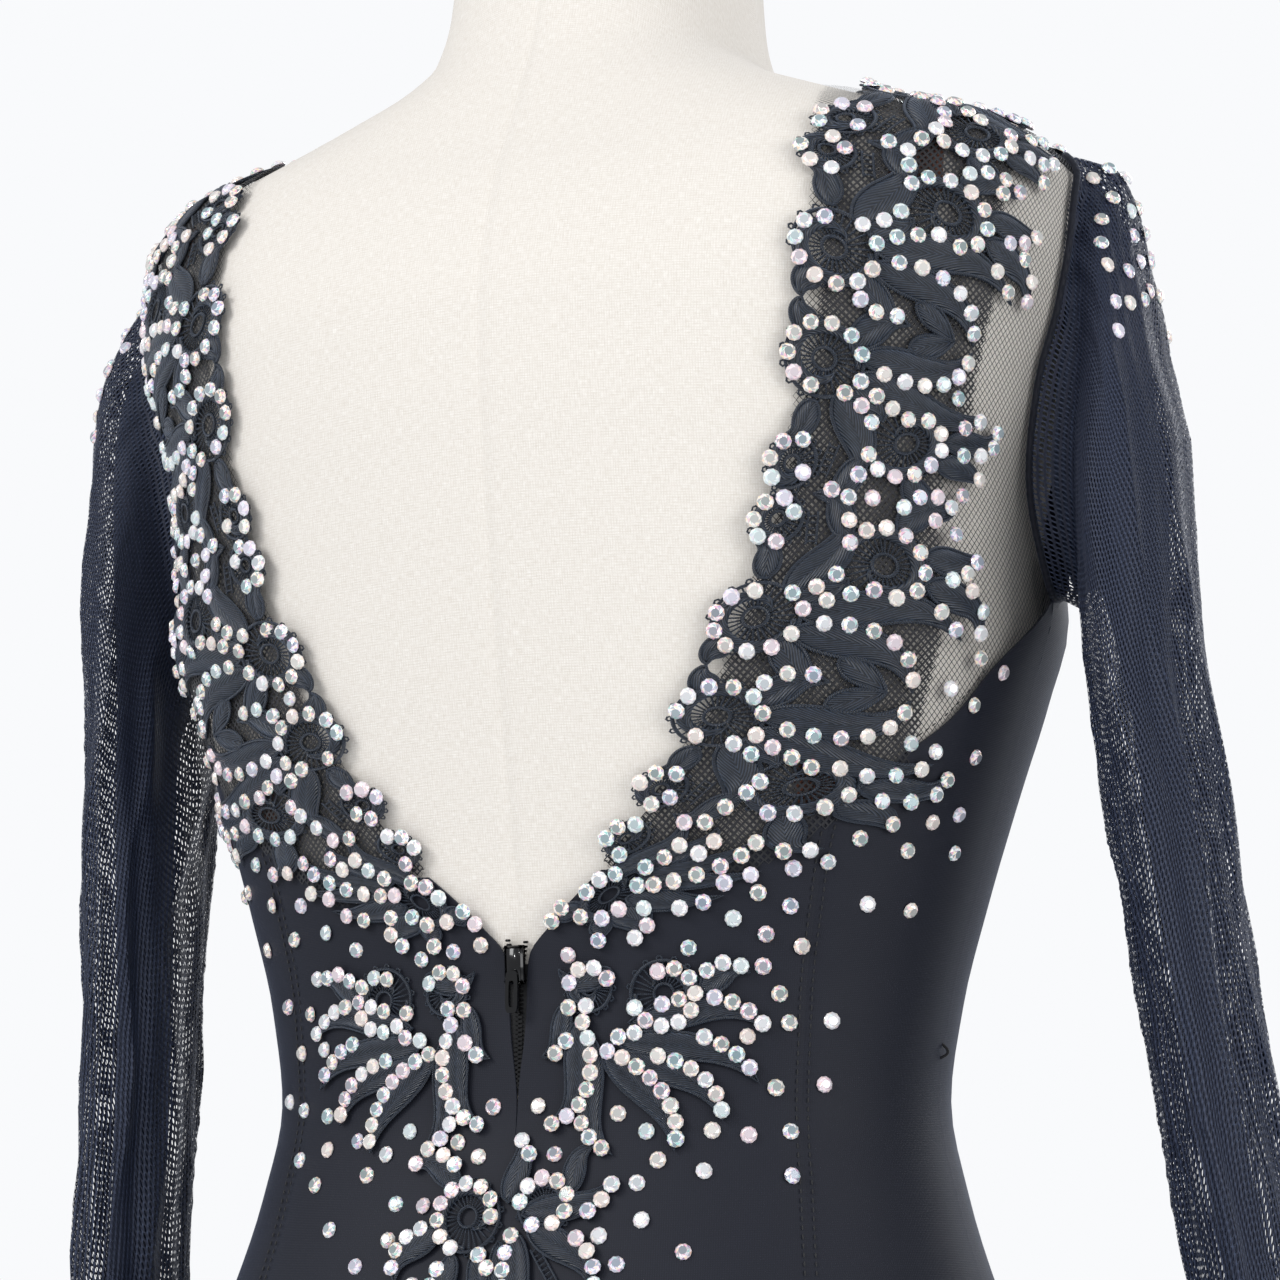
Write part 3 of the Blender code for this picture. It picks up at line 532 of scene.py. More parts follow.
class Figure:
    """Outer surface of the dress over a general size M figure."""

    ROWS = np.array([
        # height, half width, depth to the back, depth to the front, side stand-off of the cloth
        (-262, 175, 124, 112, 0), (-200, 178, 128, 112, 0), (-150, 170, 122, 110, 0),
        (-100, 155, 110, 105, 0), (-66, 141, 98, 98, 0), (-33, 131, 88, 92, 0),
        (0, 125, 82, 88, 0), (35, 130, 82, 92, 0), (69, 139, 86, 100, 0),
        (113, 152, 95, 118, 1), (145, 162, 102, 132, 3), (175, 170, 108, 136, 8),
        (210, 168, 114, 128, 3), (250, 174, 119, 108, 0), (276, 182, 120, 92, 0),
        (306, 186, 114, 76, 0), (325, 186, 107, 66, 0), (340, 176, 99, 60, 0),
        (352, 145, 93, 58, 0), (364, 112, 87, 58, 0), (376, 82, 81, 58, 0),
        (388, 66, 76, 58, 0), (410, 60, 70, 60, 0), (440, 58, 66, 60, 0),
    ], dtype=float)
    BACK_POWER = 2.4
    FRONT_POWER = 2.2
    STEP = 0.2

    def __init__(self) -> None:
        """Read the table closely once, for quick use."""
        self.heights = np.arange(self.ROWS[0, 0] - 20, self.ROWS[-1, 0] + 20, 0.25)
        self.columns = [eased(self.ROWS[:, 0], self.ROWS[:, k], self.heights) for k in (1, 2, 3, 4)]
        steps = np.hypot(np.diff(self.heights), np.diff(self.columns[0]))
        self.runs = np.concatenate(((0.0,), np.cumsum(steps)))

    def read(self, column: int, height: np.ndarray) -> np.ndarray:
        """One column of the table at some heights."""
        return np.interp(height, self.heights, self.columns[column])

    def point(self, turn: np.ndarray, height: np.ndarray, form: bool = False) -> np.ndarray:
        """Points on the figure in millimetres.

        Args:
            turn: Degrees from the centre back towards the wearer's left.
            height: Millimetres above the waist.
            form: Whether to follow the form where the cloth stands off it.

        Returns:
            Points, with the last axis x, y and z.
        """
        turn, height = np.broadcast_arrays(np.asarray(turn, float), np.asarray(height, float))
        angle = np.radians(turn)
        across, along = np.sin(angle), np.cos(angle)
        back = along > 0
        width = self.read(0, height) - (self.read(3, height) if form else 0.0)
        depth = np.where(back, self.read(1, height), self.read(2, height))
        power = np.where(back, self.BACK_POWER, self.FRONT_POWER)
        reach = ((np.abs(across) / width) ** power
                 + (np.abs(along) / depth) ** power) ** (-1 / power)
        return np.stack((reach * across, reach * along, WAIST + height), axis=-1)

    def normal(self, turn: np.ndarray, height: np.ndarray, form: bool = False) -> np.ndarray:
        """Outward normals on the figure."""
        turn, height = np.asarray(turn, float), np.asarray(height, float)
        around = (self.point(turn + self.STEP, height, form)
                  - self.point(turn - self.STEP, height, form))
        upward = (self.point(turn, height + self.STEP, form)
                  - self.point(turn, height - self.STEP, form))
        return unit(np.cross(upward, around))

    def skin(self, turn: np.ndarray, height: np.ndarray, lift: np.ndarray | float = 0.0,
             form: bool = False) -> np.ndarray:
        """Points in metres, lifted some millimetres off the figure or the form."""
        out = np.asarray(lift, dtype=float)[..., None]
        return (self.point(turn, height, form) + self.normal(turn, height, form) * out) * MM

    def back(self, out: np.ndarray, height: np.ndarray) -> tuple[np.ndarray, np.ndarray]:
        """Turns and heights of places on the back, by distance from the centre line."""
        return self._face(out, height, 1, self.BACK_POWER, 1)

    def front(self, out: np.ndarray, height: np.ndarray) -> tuple[np.ndarray, np.ndarray]:
        """Turns and heights of places on the front, by distance from the centre line."""
        return self._face(out, height, 2, self.FRONT_POWER, -1)

    def _face(self, out: np.ndarray, height: np.ndarray, column: int, power: float,
              sign: int) -> tuple[np.ndarray, np.ndarray]:
        """Shared by back and front."""
        out, height = np.asarray(out, float), np.asarray(height, float)
        share = np.clip(1 - (np.abs(out) / self.read(0, height)) ** power, 0, None)
        turn = np.degrees(np.arctan2(out, sign * self.read(column, height) * share ** (1 / power)))
        return (turn % 360 if sign < 0 else turn), height

    def shoulder(self, out: float) -> tuple[float, float]:
        """Turn and height on the shoulder seam, by distance from the centre line."""
        top = self.heights > 326
        widths = self.columns[0][top][::-1]
        return 90.0, float(np.interp(out, widths, self.heights[top][::-1]))


FIGURE = Figure()


class Side(Enum):
    """The wearer's sides, with the sign of X."""

    LEFT = 1
    RIGHT = -1

    @property
    def word(self) -> str:
        """Side as it stands in names."""
        return self.name.lower()

    @property
    def flip(self) -> np.ndarray:
        """Factors that carry left-hand points to this side."""
        return np.array((self.value, 1, 1))


def finer(edge: list[tuple[float, float]], factor: int) -> np.ndarray:
    """An edge with more points on a smooth line through its own.

    Args:
        edge: Turns and heights.
        factor: Steps for each step of the edge.

    Returns:
        Turns and heights of the finer edge.
    """
    rows = np.array(edge, dtype=float)
    places = np.arange(len(rows), dtype=float)
    at = np.linspace(0, len(rows) - 1, (len(rows) - 1) * factor + 1)
    if len(rows) < 3:
        return np.stack([np.interp(at, places, rows[:, k]) for k in (0, 1)], axis=1)
    return np.stack([eased(places, rows[:, k], at) for k in (0, 1)], axis=1)


def blended_grid(bottom: Grid, top: Grid, start: Grid, end: Grid) -> Grid:
    """Turns and heights over four edges, even along the side line.

    Args:
        bottom: Lower edge.
        top: Upper edge.
        start: Edge at the first column, upwards.
        end: Edge at the last column, upwards.

    Returns:
        Grid of turns and heights.
    """
    edges = []
    for edge in (bottom, top, start, end):
        run = np.interp(edge[:, 1], FIGURE.heights, FIGURE.runs)
        edges.append(np.stack((edge[:, 0], run), axis=1))
    low, high, first, last = edges
    t = np.linspace(0, 1, len(first))[:, None, None]
    s = np.linspace(0, 1, len(low))[None, :, None]
    grid = ((1 - t) * low[None] + t * high[None] + (1 - s) * first[:, None] + s * last[:, None]
            - (1 - s) * (1 - t) * low[0] - s * (1 - t) * low[-1]
            - (1 - s) * t * high[0] - s * t * high[-1])
    heights = np.interp(grid[..., 1], FIGURE.runs, FIGURE.heights)
    return np.stack((grid[..., 0], heights), axis=-1)


def surface_uv(points: Grid) -> Grid:
    """Distances across and along a grid of points, in metres, for its UV map."""
    across = np.zeros(points.shape[:2])
    along = np.zeros(points.shape[:2])
    across[:, 1:] = np.cumsum(np.linalg.norm(np.diff(points, axis=1), axis=2), axis=1)
    along[1:] = np.cumsum(np.linalg.norm(np.diff(points, axis=0), axis=2), axis=0)
    across -= across.mean(axis=1, keepdims=True)
    return np.stack((across, along), axis=-1)


def grid_area(points: Grid) -> float:
    """Area of a grid of points."""
    a, b = points[1:, 1:] - points[:-1, :-1], points[1:, :-1] - points[:-1, 1:]
    return float(np.linalg.norm(np.cross(a, b), axis=2).sum() / 2)


def wall(name: str, outer: Grid, inner: Grid, finish: Finish,
         closed: bool = False) -> bpy.types.Object:
    """Closed cloth wall between two grids of points.

    Args:
        name: Object's name.
        outer: Outer points in metres.
        inner: Inner points in metres.
        finish: Its material.
        closed: Whether each row is a ring.

    Returns:
        The object.
    """
    if closed:
        outer, inner = (np.concatenate((grid, grid[:, :1]), axis=1) for grid in (outer, inner))
    rows, columns = outer.shape[:2]
    count = rows * columns
    places = surface_uv(outer).reshape(-1, 2)
    faces = grid_faces(rows, columns)
    faces += grid_faces(rows, columns, start=count, flip=True)
    rim = [(0, j, 1) for j in range(columns - 1)] + [(rows - 1, j, -1) for j in range(columns - 1)]
    for i, j, way in rim:
        quad = (i * columns + j, count + i * columns + j, count + i * columns + j + 1,
                i * columns + j + 1)
        faces.append(quad[::way])
    if not closed:
        for i in range(rows - 1):
            for j, way in ((0, -1), (columns - 1, 1)):
                low, high = i * columns + j, (i + 1) * columns + j
                faces.append((low, count + low, count + high, high)[::way])
    points = np.concatenate((outer.reshape(-1, 3), inner.reshape(-1, 3)))
    obj = make_object(name, points, faces, finish, np.concatenate((places, places)))
    mend(obj, WELD if closed else 0.0)
    obj.data.set_sharp_from_angle(angle=math.radians(55))
    return obj


def tube(name: str, path: np.ndarray, radius: float, finish: Finish, looped: bool = False,
         sides: int = 8) -> bpy.types.Object:
    """Round cord along a path in space.

    Args:
        name: Object's name.
        path: Points in metres.
        radius: Radius in metres.
        finish: Its material.
        looped: Whether its ends join.
        sides: Points in each ring.

    Returns:
        The object.
    """
    heading = headings(path, looped)
    first = unit(np.cross(heading, np.array((0.37, 0.9, 0.21))))
    second = np.cross(heading, first)
    angles = circle(sides)
    rings = np.stack([path + (first * math.cos(a) + second * math.sin(a)) * radius
                      for a in angles], axis=1)
    if looped:
        rings = np.concatenate((rings, rings[:1]))
    faces = grid_faces(len(rings), sides, True)
    if not looped:
        last = (len(rings) - 1) * sides
        faces += [tuple(range(sides))[::-1], tuple(range(last, last + sides))]
    run = np.arange(len(rings))[:, None] * radius + np.zeros((1, sides))
    uv = np.stack((run, np.broadcast_to(angles * radius, run.shape)), axis=-1)
    obj = make_object(name, rings.reshape(-1, 3), faces, finish, uv.reshape(-1, 2))
    mend(obj, WELD / 10)
    return obj


def declare_sheet(points: Grid) -> None:
    """Measure a sheet of cloth's flat width, length and area on its grid, without keeping them.

    Args:
        points: Its outer points in metres.
    """
    width = float(np.linalg.norm(np.diff(points, axis=1), axis=2).sum(axis=1).max())
    length = float(np.linalg.norm(np.diff(points, axis=0), axis=2).sum(axis=0).max())
    area = max(min(grid_area(points), width * length), LEAST_SHARE * width * length)


def seat(obj: bpy.types.Object, slot: str, *nodes: str, body: str = BODY) -> None:
    """Ride a finished piece on its body, hide the nodes it stands for and log its faces."""
    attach(obj, body)
    if nodes:
        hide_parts(*nodes)
    log.info("%s: %d faces", obj.name, len(obj.data.polygons))


@dataclass
class PointRow:
    """One place for a repeated piece: where it is, which way it faces, its tint and its painted
    glint.
    """

    place: np.ndarray
    normal: np.ndarray
    tangent: np.ndarray
    tint: tuple[float, float, float] = (1.0, 1.0, 1.0)
    gleam: float = 0.0


class Repeater:
    """Geometry Nodes tree that sets one small piece on every point of a mesh."""

    def __init__(self, name: str, piece: bpy.types.Object, finish: Finish, size: float,
                 spread: float = 0.0, seed: int = 1) -> None:
        """Build the tree.

        Args:
            name: Name of the tree.
            piece: Piece to repeat, facing +Z with its length along +X.
            finish: Material of the result.
            size: Scale of the piece.
            spread: How much the scale varies either way.
            seed: Fixed seed for that variation.
        """
        self.values = {}
        tree = bpy.data.node_groups.new(name, "GeometryNodeTree")
        face = tree.interface
        face.new_socket(name="Geometry", in_out="INPUT", socket_type="NodeSocketGeometry")
        for label, kind, value in (
                ("Piece", "NodeSocketObject", piece), ("Size", "NodeSocketFloat", size),
                ("Spread", "NodeSocketFloat", spread), ("Seed", "NodeSocketInt", seed),
                ("Finish", "NodeSocketMaterial", Paints.of(finish))):
            socket = face.new_socket(name=label, in_out="INPUT", socket_type=kind)
            self.values[socket.identifier] = value
        face.new_socket(name="Geometry", in_out="OUTPUT", socket_type="NodeSocketGeometry")
        given = add_node(tree, "NodeGroupInput")
        model = add_node(tree, "GeometryNodeObjectInfo", {}, {"Object": output(given, "Piece")})
        faces = [output(add_node(tree, "GeometryNodeInputNamedAttribute",
                                 {"data_type": "FLOAT_VECTOR"}, {"Name": label}), "Attribute")
                 for label in ("facing", "heading")]
        turned = add_node(tree, "FunctionNodeAxesToRotation",
                          {"primary_axis": "Z", "secondary_axis": "X"}, {0: faces[0], 1: faces[1]})
        ends = [reckon(tree, operation, output(given, "Size"), output(given, "Spread"))
                for operation in ("SUBTRACT", "ADD")]
        scale = add_node(tree, "FunctionNodeRandomValue", {"data_type": "FLOAT"}, {
            "Min": ends[0], "Max": ends[1], "Seed": output(given, "Seed")})
        placed = add_node(tree, "GeometryNodeInstanceOnPoints", {}, {
            "Points": output(given, "Geometry"), "Instance": output(model, "Geometry"),
            "Rotation": output(turned, "Rotation"), "Scale": output(scale, "Value")})
        real = add_node(tree, "GeometryNodeRealizeInstances", {},
                        {"Geometry": output(placed, "Instances")})
        painted = add_node(tree, "GeometryNodeSetMaterial", {}, {
            "Geometry": output(real, "Geometry"), "Material": output(given, "Finish")})
        add_node(tree, "NodeGroupOutput", {}, {"Geometry": output(painted, "Geometry")})
        self.tree = tree

    def spread_over(self, name: str, rows: list[PointRow]) -> bpy.types.Object:
        """Set the piece on every row and make the result a plain mesh.

        Args:
            name: Name of the finished piece.
            rows: Places for the piece.

        Returns:
            The finished object.
        """
        mesh = bpy.data.meshes.new(name + "_places")
        mesh.from_pydata([tuple(row.place) for row in rows], [], [])
        for label, values in (("facing", [row.normal for row in rows]),
                              ("heading", [row.tangent for row in rows])):
            layer = mesh.attributes.new(label, "FLOAT_VECTOR", "POINT")
            layer.data.foreach_set("vector", np.array(values, dtype=np.float32).ravel())
        tints = mesh.attributes.new("tint", "FLOAT_COLOR", "POINT")
        tints.data.foreach_set("color", np.array(
            [(*row.tint, 1.0) for row in rows], dtype=np.float32).ravel())
        # Painted glint share of each piece, read by the crystal's material.
        painted_glints = mesh.attributes.new("gleam", "FLOAT", "POINT")
        painted_glints.data.foreach_set("value", [row.gleam for row in rows])
        carrier = link(name + "_places", mesh)
        modifier = carrier.modifiers.new("repeat", "NODES")
        modifier.node_group = self.tree
        for identifier, value in self.values.items():
            modifier[identifier] = value
        bpy.context.view_layer.update()
        graph = bpy.context.evaluated_depsgraph_get()
        made = bpy.data.meshes.new_from_object(carrier.evaluated_get(graph))
        made.name = name
        bpy.data.objects.remove(carrier)
        return link(name, made)


class Edges:
    """Cutting lines of the bodice, as in the CAD part."""

    CENTRE_BACK = ((0, -200), (0, -150), (0, -100), (0, -60), (0, -25), (0.3, 0), (2.9, 24),
                   (4.2, 47), (14, 60), (33, 77))
    PRINCESS = ((118, -200), (114, -150), (109, -100), (103, -60), (98, -25), (96, 5), (98, 35),
                (102, 60), (106, 80), (111, 97))
    SIDE_HEIGHTS = (-200, -155, -105, -62, -22, 18, 58, 98, 138, 176)
    TOP_CENTRE = ((33, 77), (53, 77.5), (73, 81), (92, 87), (111, 97))
    TOP_SIDE = ((111, 97), (129, 112), (146, 128), (158, 147))
    OPENING = ((33, 77), (52, 98), (70, 124), (86, 155), (102, 200), (111, 240), (116, 280),
               (115, 315), (112, 340), (109, 355), (106, 363))
    UNDERARM = 176.0
    SHOULDER_TIP = 338.0
    NECK_POINT = 102.0
    FRONT_NECK = 262.0
    NECK_POWER = 2.2
    BACK_BOW = 8.0
    FRONT_BOW = 15.0
    HIP = -200.0

    @classmethod
    def back(cls, places: tuple[tuple[float, float], ...]) -> list[tuple[float, float]]:
        """Turns and heights of places on the back."""
        return [tuple(float(v) for v in FIGURE.back(*place)) for place in places]

    @classmethod
    def side_seam(cls) -> list[tuple[float, float]]:
        """Side seam from hip to underarm."""
        return [(90.0, height) for height in cls.SIDE_HEIGHTS]

    @classmethod
    def armhole(cls, bow: float, way: int, steps: int = 11) -> list[tuple[float, float]]:
        """Half an armhole from the underarm to the shoulder tip.

        Args:
            bow: Degrees that it bows from the side line.
            way: -1 towards the back, +1 towards the front.
            steps: Steps along it.

        Returns:
            Turns and heights.
        """
        middle = (cls.UNDERARM + cls.SHOULDER_TIP) / 2
        half = (cls.SHOULDER_TIP - cls.UNDERARM) / 2
        angles = [math.pi * k / steps for k in range(steps + 1)]
        return [(90.0 + way * bow * math.sin(a), middle - half * math.cos(a)) for a in angles]

    @classmethod
    def shoulder(cls, steps: int) -> list[tuple[float, float]]:
        """Shoulder seam from the neck point to the tip."""
        tip = float(FIGURE.read(0, cls.SHOULDER_TIP))
        outs = np.linspace(cls.NECK_POINT, tip, steps + 1)
        return [FIGURE.shoulder(out) for out in outs]

    @classmethod
    def neckline(cls, steps: int) -> list[tuple[float, float]]:
        """Front neckline between the two neck points, ends left out."""
        top = FIGURE.shoulder(cls.NECK_POINT)[1]
        made = []
        for k in range(1, steps):
            out = cls.NECK_POINT * math.cos(math.pi * k / steps)
            rise = (abs(out) / cls.NECK_POINT) ** cls.NECK_POWER
            height = cls.FRONT_NECK + (top - cls.FRONT_NECK) * rise
            made.append(tuple(float(v) for v in FIGURE.front(out, height)))
        return made

    @classmethod
    def hip(cls, first: float, last: float, steps: int) -> list[tuple[float, float]]:
        """Hip seam between two turns."""
        return [(turn, cls.HIP) for turn in np.linspace(first, last, steps + 1)]


@dataclass
class Form:
    """Padded torso with its neck cap, pole and base."""

    around: int = 144
    turned_around: int = 96
    rows: int = 190
    clearance: float = 2.1
    low: float = -255.0
    high: float = 435.0
    seam_width: float = 1.3
    seam_depth: float = 0.7

    CAP = ((0, 477), (10, 476.8), (16, 476), (20, 473), (21, 470), (19, 466), (17, 463), (24, 460),
           (40, 458), (52, 455), (60, 452), (63, 448), (63, 445), (60, 440), (60, 434.7))
    BASE = ((0, 48), (24, 48), (27, 47.4), (30, 44), (31.5, 38), (34, 31), (42, 28), (60, 26),
            (90, 24), (125, 22), (150, 20), (157, 18), (162, 14), (164.4, 9), (165, 6), (164.4, 1),
            (163.4, 0), (0, 0))

    def build(self) -> None:
        """Make every piece of the form."""
        self.torso()
        self.turned("neck_cap_turned", self.CAP, WAIST + 0.35, BEECH, "wood", "form_neck_cap")
        self.turned("base_turned", self.BASE, 0.0, BEECH, "wood", "form_base")
        self.pole()

    def torso(self) -> None:
        """Linen-covered torso with a fine seam down the centre back and front."""
        heights = np.linspace(self.low, self.high, self.rows)
        turns = np.linspace(-180, 180, self.around + 1)
        turns = np.sort(np.concatenate((turns, (-0.9, -0.45, 0.45, 0.9))))
        turn, height = np.meshgrid(turns, heights)
        points = FIGURE.point(turn, height, True)
        seam = np.exp(-(points[..., 0] / self.seam_width) ** 2) * self.seam_depth
        skin = FIGURE.skin(turn, height, -self.clearance - seam, True)
        skin[..., 2] = np.clip(skin[..., 2], (WAIST + self.low) * MM, (WAIST + self.high - 0.4) * MM)
        uv = surface_uv(skin)
        faces = grid_faces(*skin.shape[:2])
        count = skin.shape[0] * skin.shape[1]
        columns = skin.shape[1]
        flat = skin.reshape(-1, 3)
        centres = np.array((skin[0].mean(axis=0), skin[-1].mean(axis=0)))
        for number, row in ((0, 0), (1, skin.shape[0] - 1)):
            start = row * columns
            ring = [(start + k, start + k + 1, count + number) for k in range(columns - 1)]
            faces += [f if number else f[::-1] for f in ring]
        torso = make_object("torso_linen", np.concatenate((flat, centres)), faces, LINEN,
                            np.concatenate((uv.reshape(-1, 2), ((0, 0), (0, 0)))))
        mend(torso, WELD)
        seat(torso, "linen", "form_torso")

    def turned(self, name: str, profile: tuple[tuple[float, float], ...], raised: float,
               finish: Finish, slot: str, node: str) -> None:
        """Turn a profile of radius and height round the pole's axis.

        Args:
            name: Piece's name.
            profile: Radius and height down its outer side.
            raised: Height added to the profile.
            finish: Its material.
            slot: Its slot in the record; not used.
            node: CAD node that it stands for.
        """
        rings = np.array([[(r * math.cos(a), r * math.sin(a), z + raised)
                           for a in circle(self.turned_around)] for r, z in profile]) * MM
        faces = grid_faces(len(profile), self.turned_around, True)
        obj = make_object(name, rings.reshape(-1, 3), faces, finish)
        mend(obj, WELD, True)
        obj.data.set_sharp_from_angle(angle=math.radians(40))
        seat(obj, slot, node)

    def pole(self) -> None:
        """Dress the pole with satin-painted steel."""
        pole = bpy.data.objects["form_pole"]
        pole.data.materials.clear()
        pole.data.materials.append(Paints.of(POLE_BLACK))


class Unrolled:
    """The back laid out flat: distance round from the centre line and up the side line."""

    def __init__(self) -> None:
        """Tabulate the distances round the figure at each height."""
        self.heights = np.arange(0.0, 400.0, 1.0)
        self.turns = np.linspace(0.0, 125.0, 251)
        points = FIGURE.point(*np.meshgrid(self.turns, self.heights))
        steps = np.linalg.norm(np.diff(points, axis=1), axis=2)
        self.round = np.concatenate((np.zeros((len(steps), 1)), np.cumsum(steps, axis=1)), axis=1)
        self.places = np.arange(0.0, 260.0, 1.0)
        self.back = np.array([np.interp(self.places, row, self.turns) for row in self.round])

    @staticmethod
    def between_rows(table: np.ndarray, row: np.ndarray, column: np.ndarray) -> np.ndarray:
        """Read a table between its rows and columns."""
        row = np.clip(row, 0, table.shape[0] - 1.001)
        column = np.clip(column, 0, table.shape[1] - 1.001)
        i, j = row.astype(int), column.astype(int)
        a, b = row - i, column - j
        return ((1 - a) * (1 - b) * table[i, j] + (1 - a) * b * table[i, j + 1]
                + a * (1 - b) * table[i + 1, j] + a * b * table[i + 1, j + 1])

    def flat(self, turn: np.ndarray, height: np.ndarray) -> np.ndarray:
        """Flat places of turns and heights."""
        step = self.turns[1] - self.turns[0]
        across = self.between_rows(self.round, height - self.heights[0], turn / step)
        return np.stack((across, np.interp(height, FIGURE.heights, FIGURE.runs)), axis=-1)

    def folded(self, flat: np.ndarray) -> tuple[np.ndarray, np.ndarray]:
        """Turns and heights of flat places."""
        height = np.interp(flat[..., 1], FIGURE.runs, FIGURE.heights)
        return self.between_rows(self.back, height - self.heights[0], flat[..., 0]), height


UNROLLED = Unrolled()


def inside(points: np.ndarray, outline: np.ndarray) -> np.ndarray:
    """Which flat points lie inside a closed outline.

    Args:
        points: Flat points.
        outline: Corners of the outline in order.

    Returns:
        True for each point inside.
    """
    x, y = points[:, 0], points[:, 1]
    found = np.zeros(len(points), dtype=bool)
    before = outline[-1]
    for corner in outline:
        crossed = (before[1] > y) != (corner[1] > y)
        rise = corner[1] - before[1]
        at = before[0] + (y - before[1]) / (rise if abs(rise) > 1e-9 else 1e-9) * (
            corner[0] - before[0])
        found ^= crossed & (x < at)
        before = corner
    return found


@dataclass
class Net:
    """Diamond net of flat threads with real holes, even over the curve of the back."""

    mesh: tuple[float, float]
    thread: float
    lift: float

    def build(self, name: str, outline: np.ndarray, side: Side) -> bpy.types.Object:
        """Make a net inside an outline.

        Args:
            name: Object's name.
            outline: Turns and heights of its corners in order.
            side: Side of the body.

        Returns:
            The net.
        """
        edge = UNROLLED.flat(outline[:, 0], outline[:, 1])
        half = np.array(self.mesh)
        low, high = edge.min(axis=0), edge.max(axis=0)
        count = np.ceil((high - low) / half).astype(int)
        i, j = np.meshgrid(np.arange(1, count[0]), np.arange(1, count[1]), indexing="ij")
        keep = (i + j) % 2 == 0
        centres = np.stack((i[keep], j[keep]), axis=-1)
        centres = centres[inside(low + centres * half, edge)]
        reach = half[0] * half[1] / math.hypot(*half)
        open_share = 1 - self.thread / 2 / reach
        steps = np.array(((0, -1), (1, 0), (0, 1), (-1, 0)))
        rims = centres[:, None] + steps
        corners, numbers = np.unique(rims.reshape(-1, 2), axis=0, return_inverse=True)
        numbers = numbers.reshape(-1, 4)
        holes = (centres[:, None] + steps * open_share).reshape(-1, 2)
        first = len(corners) + np.arange(len(centres))[:, None] * 4 + np.arange(4)
        turned = np.roll(numbers, -1, axis=1), np.roll(first, -1, axis=1)
        quads = np.stack((numbers, turned[0], turned[1], first), axis=-1).reshape(-1, 4)
        if side is Side.RIGHT:
            quads = quads[:, ::-1]
        flat = low + np.concatenate((corners, holes)) * half
        turn, height = UNROLLED.folded(flat)
        skin = FIGURE.skin(turn, height, self.lift) * side.flip
        obj = make_object(name, skin, quads.tolist(), NET_THREAD, flat * MM)
        return obj


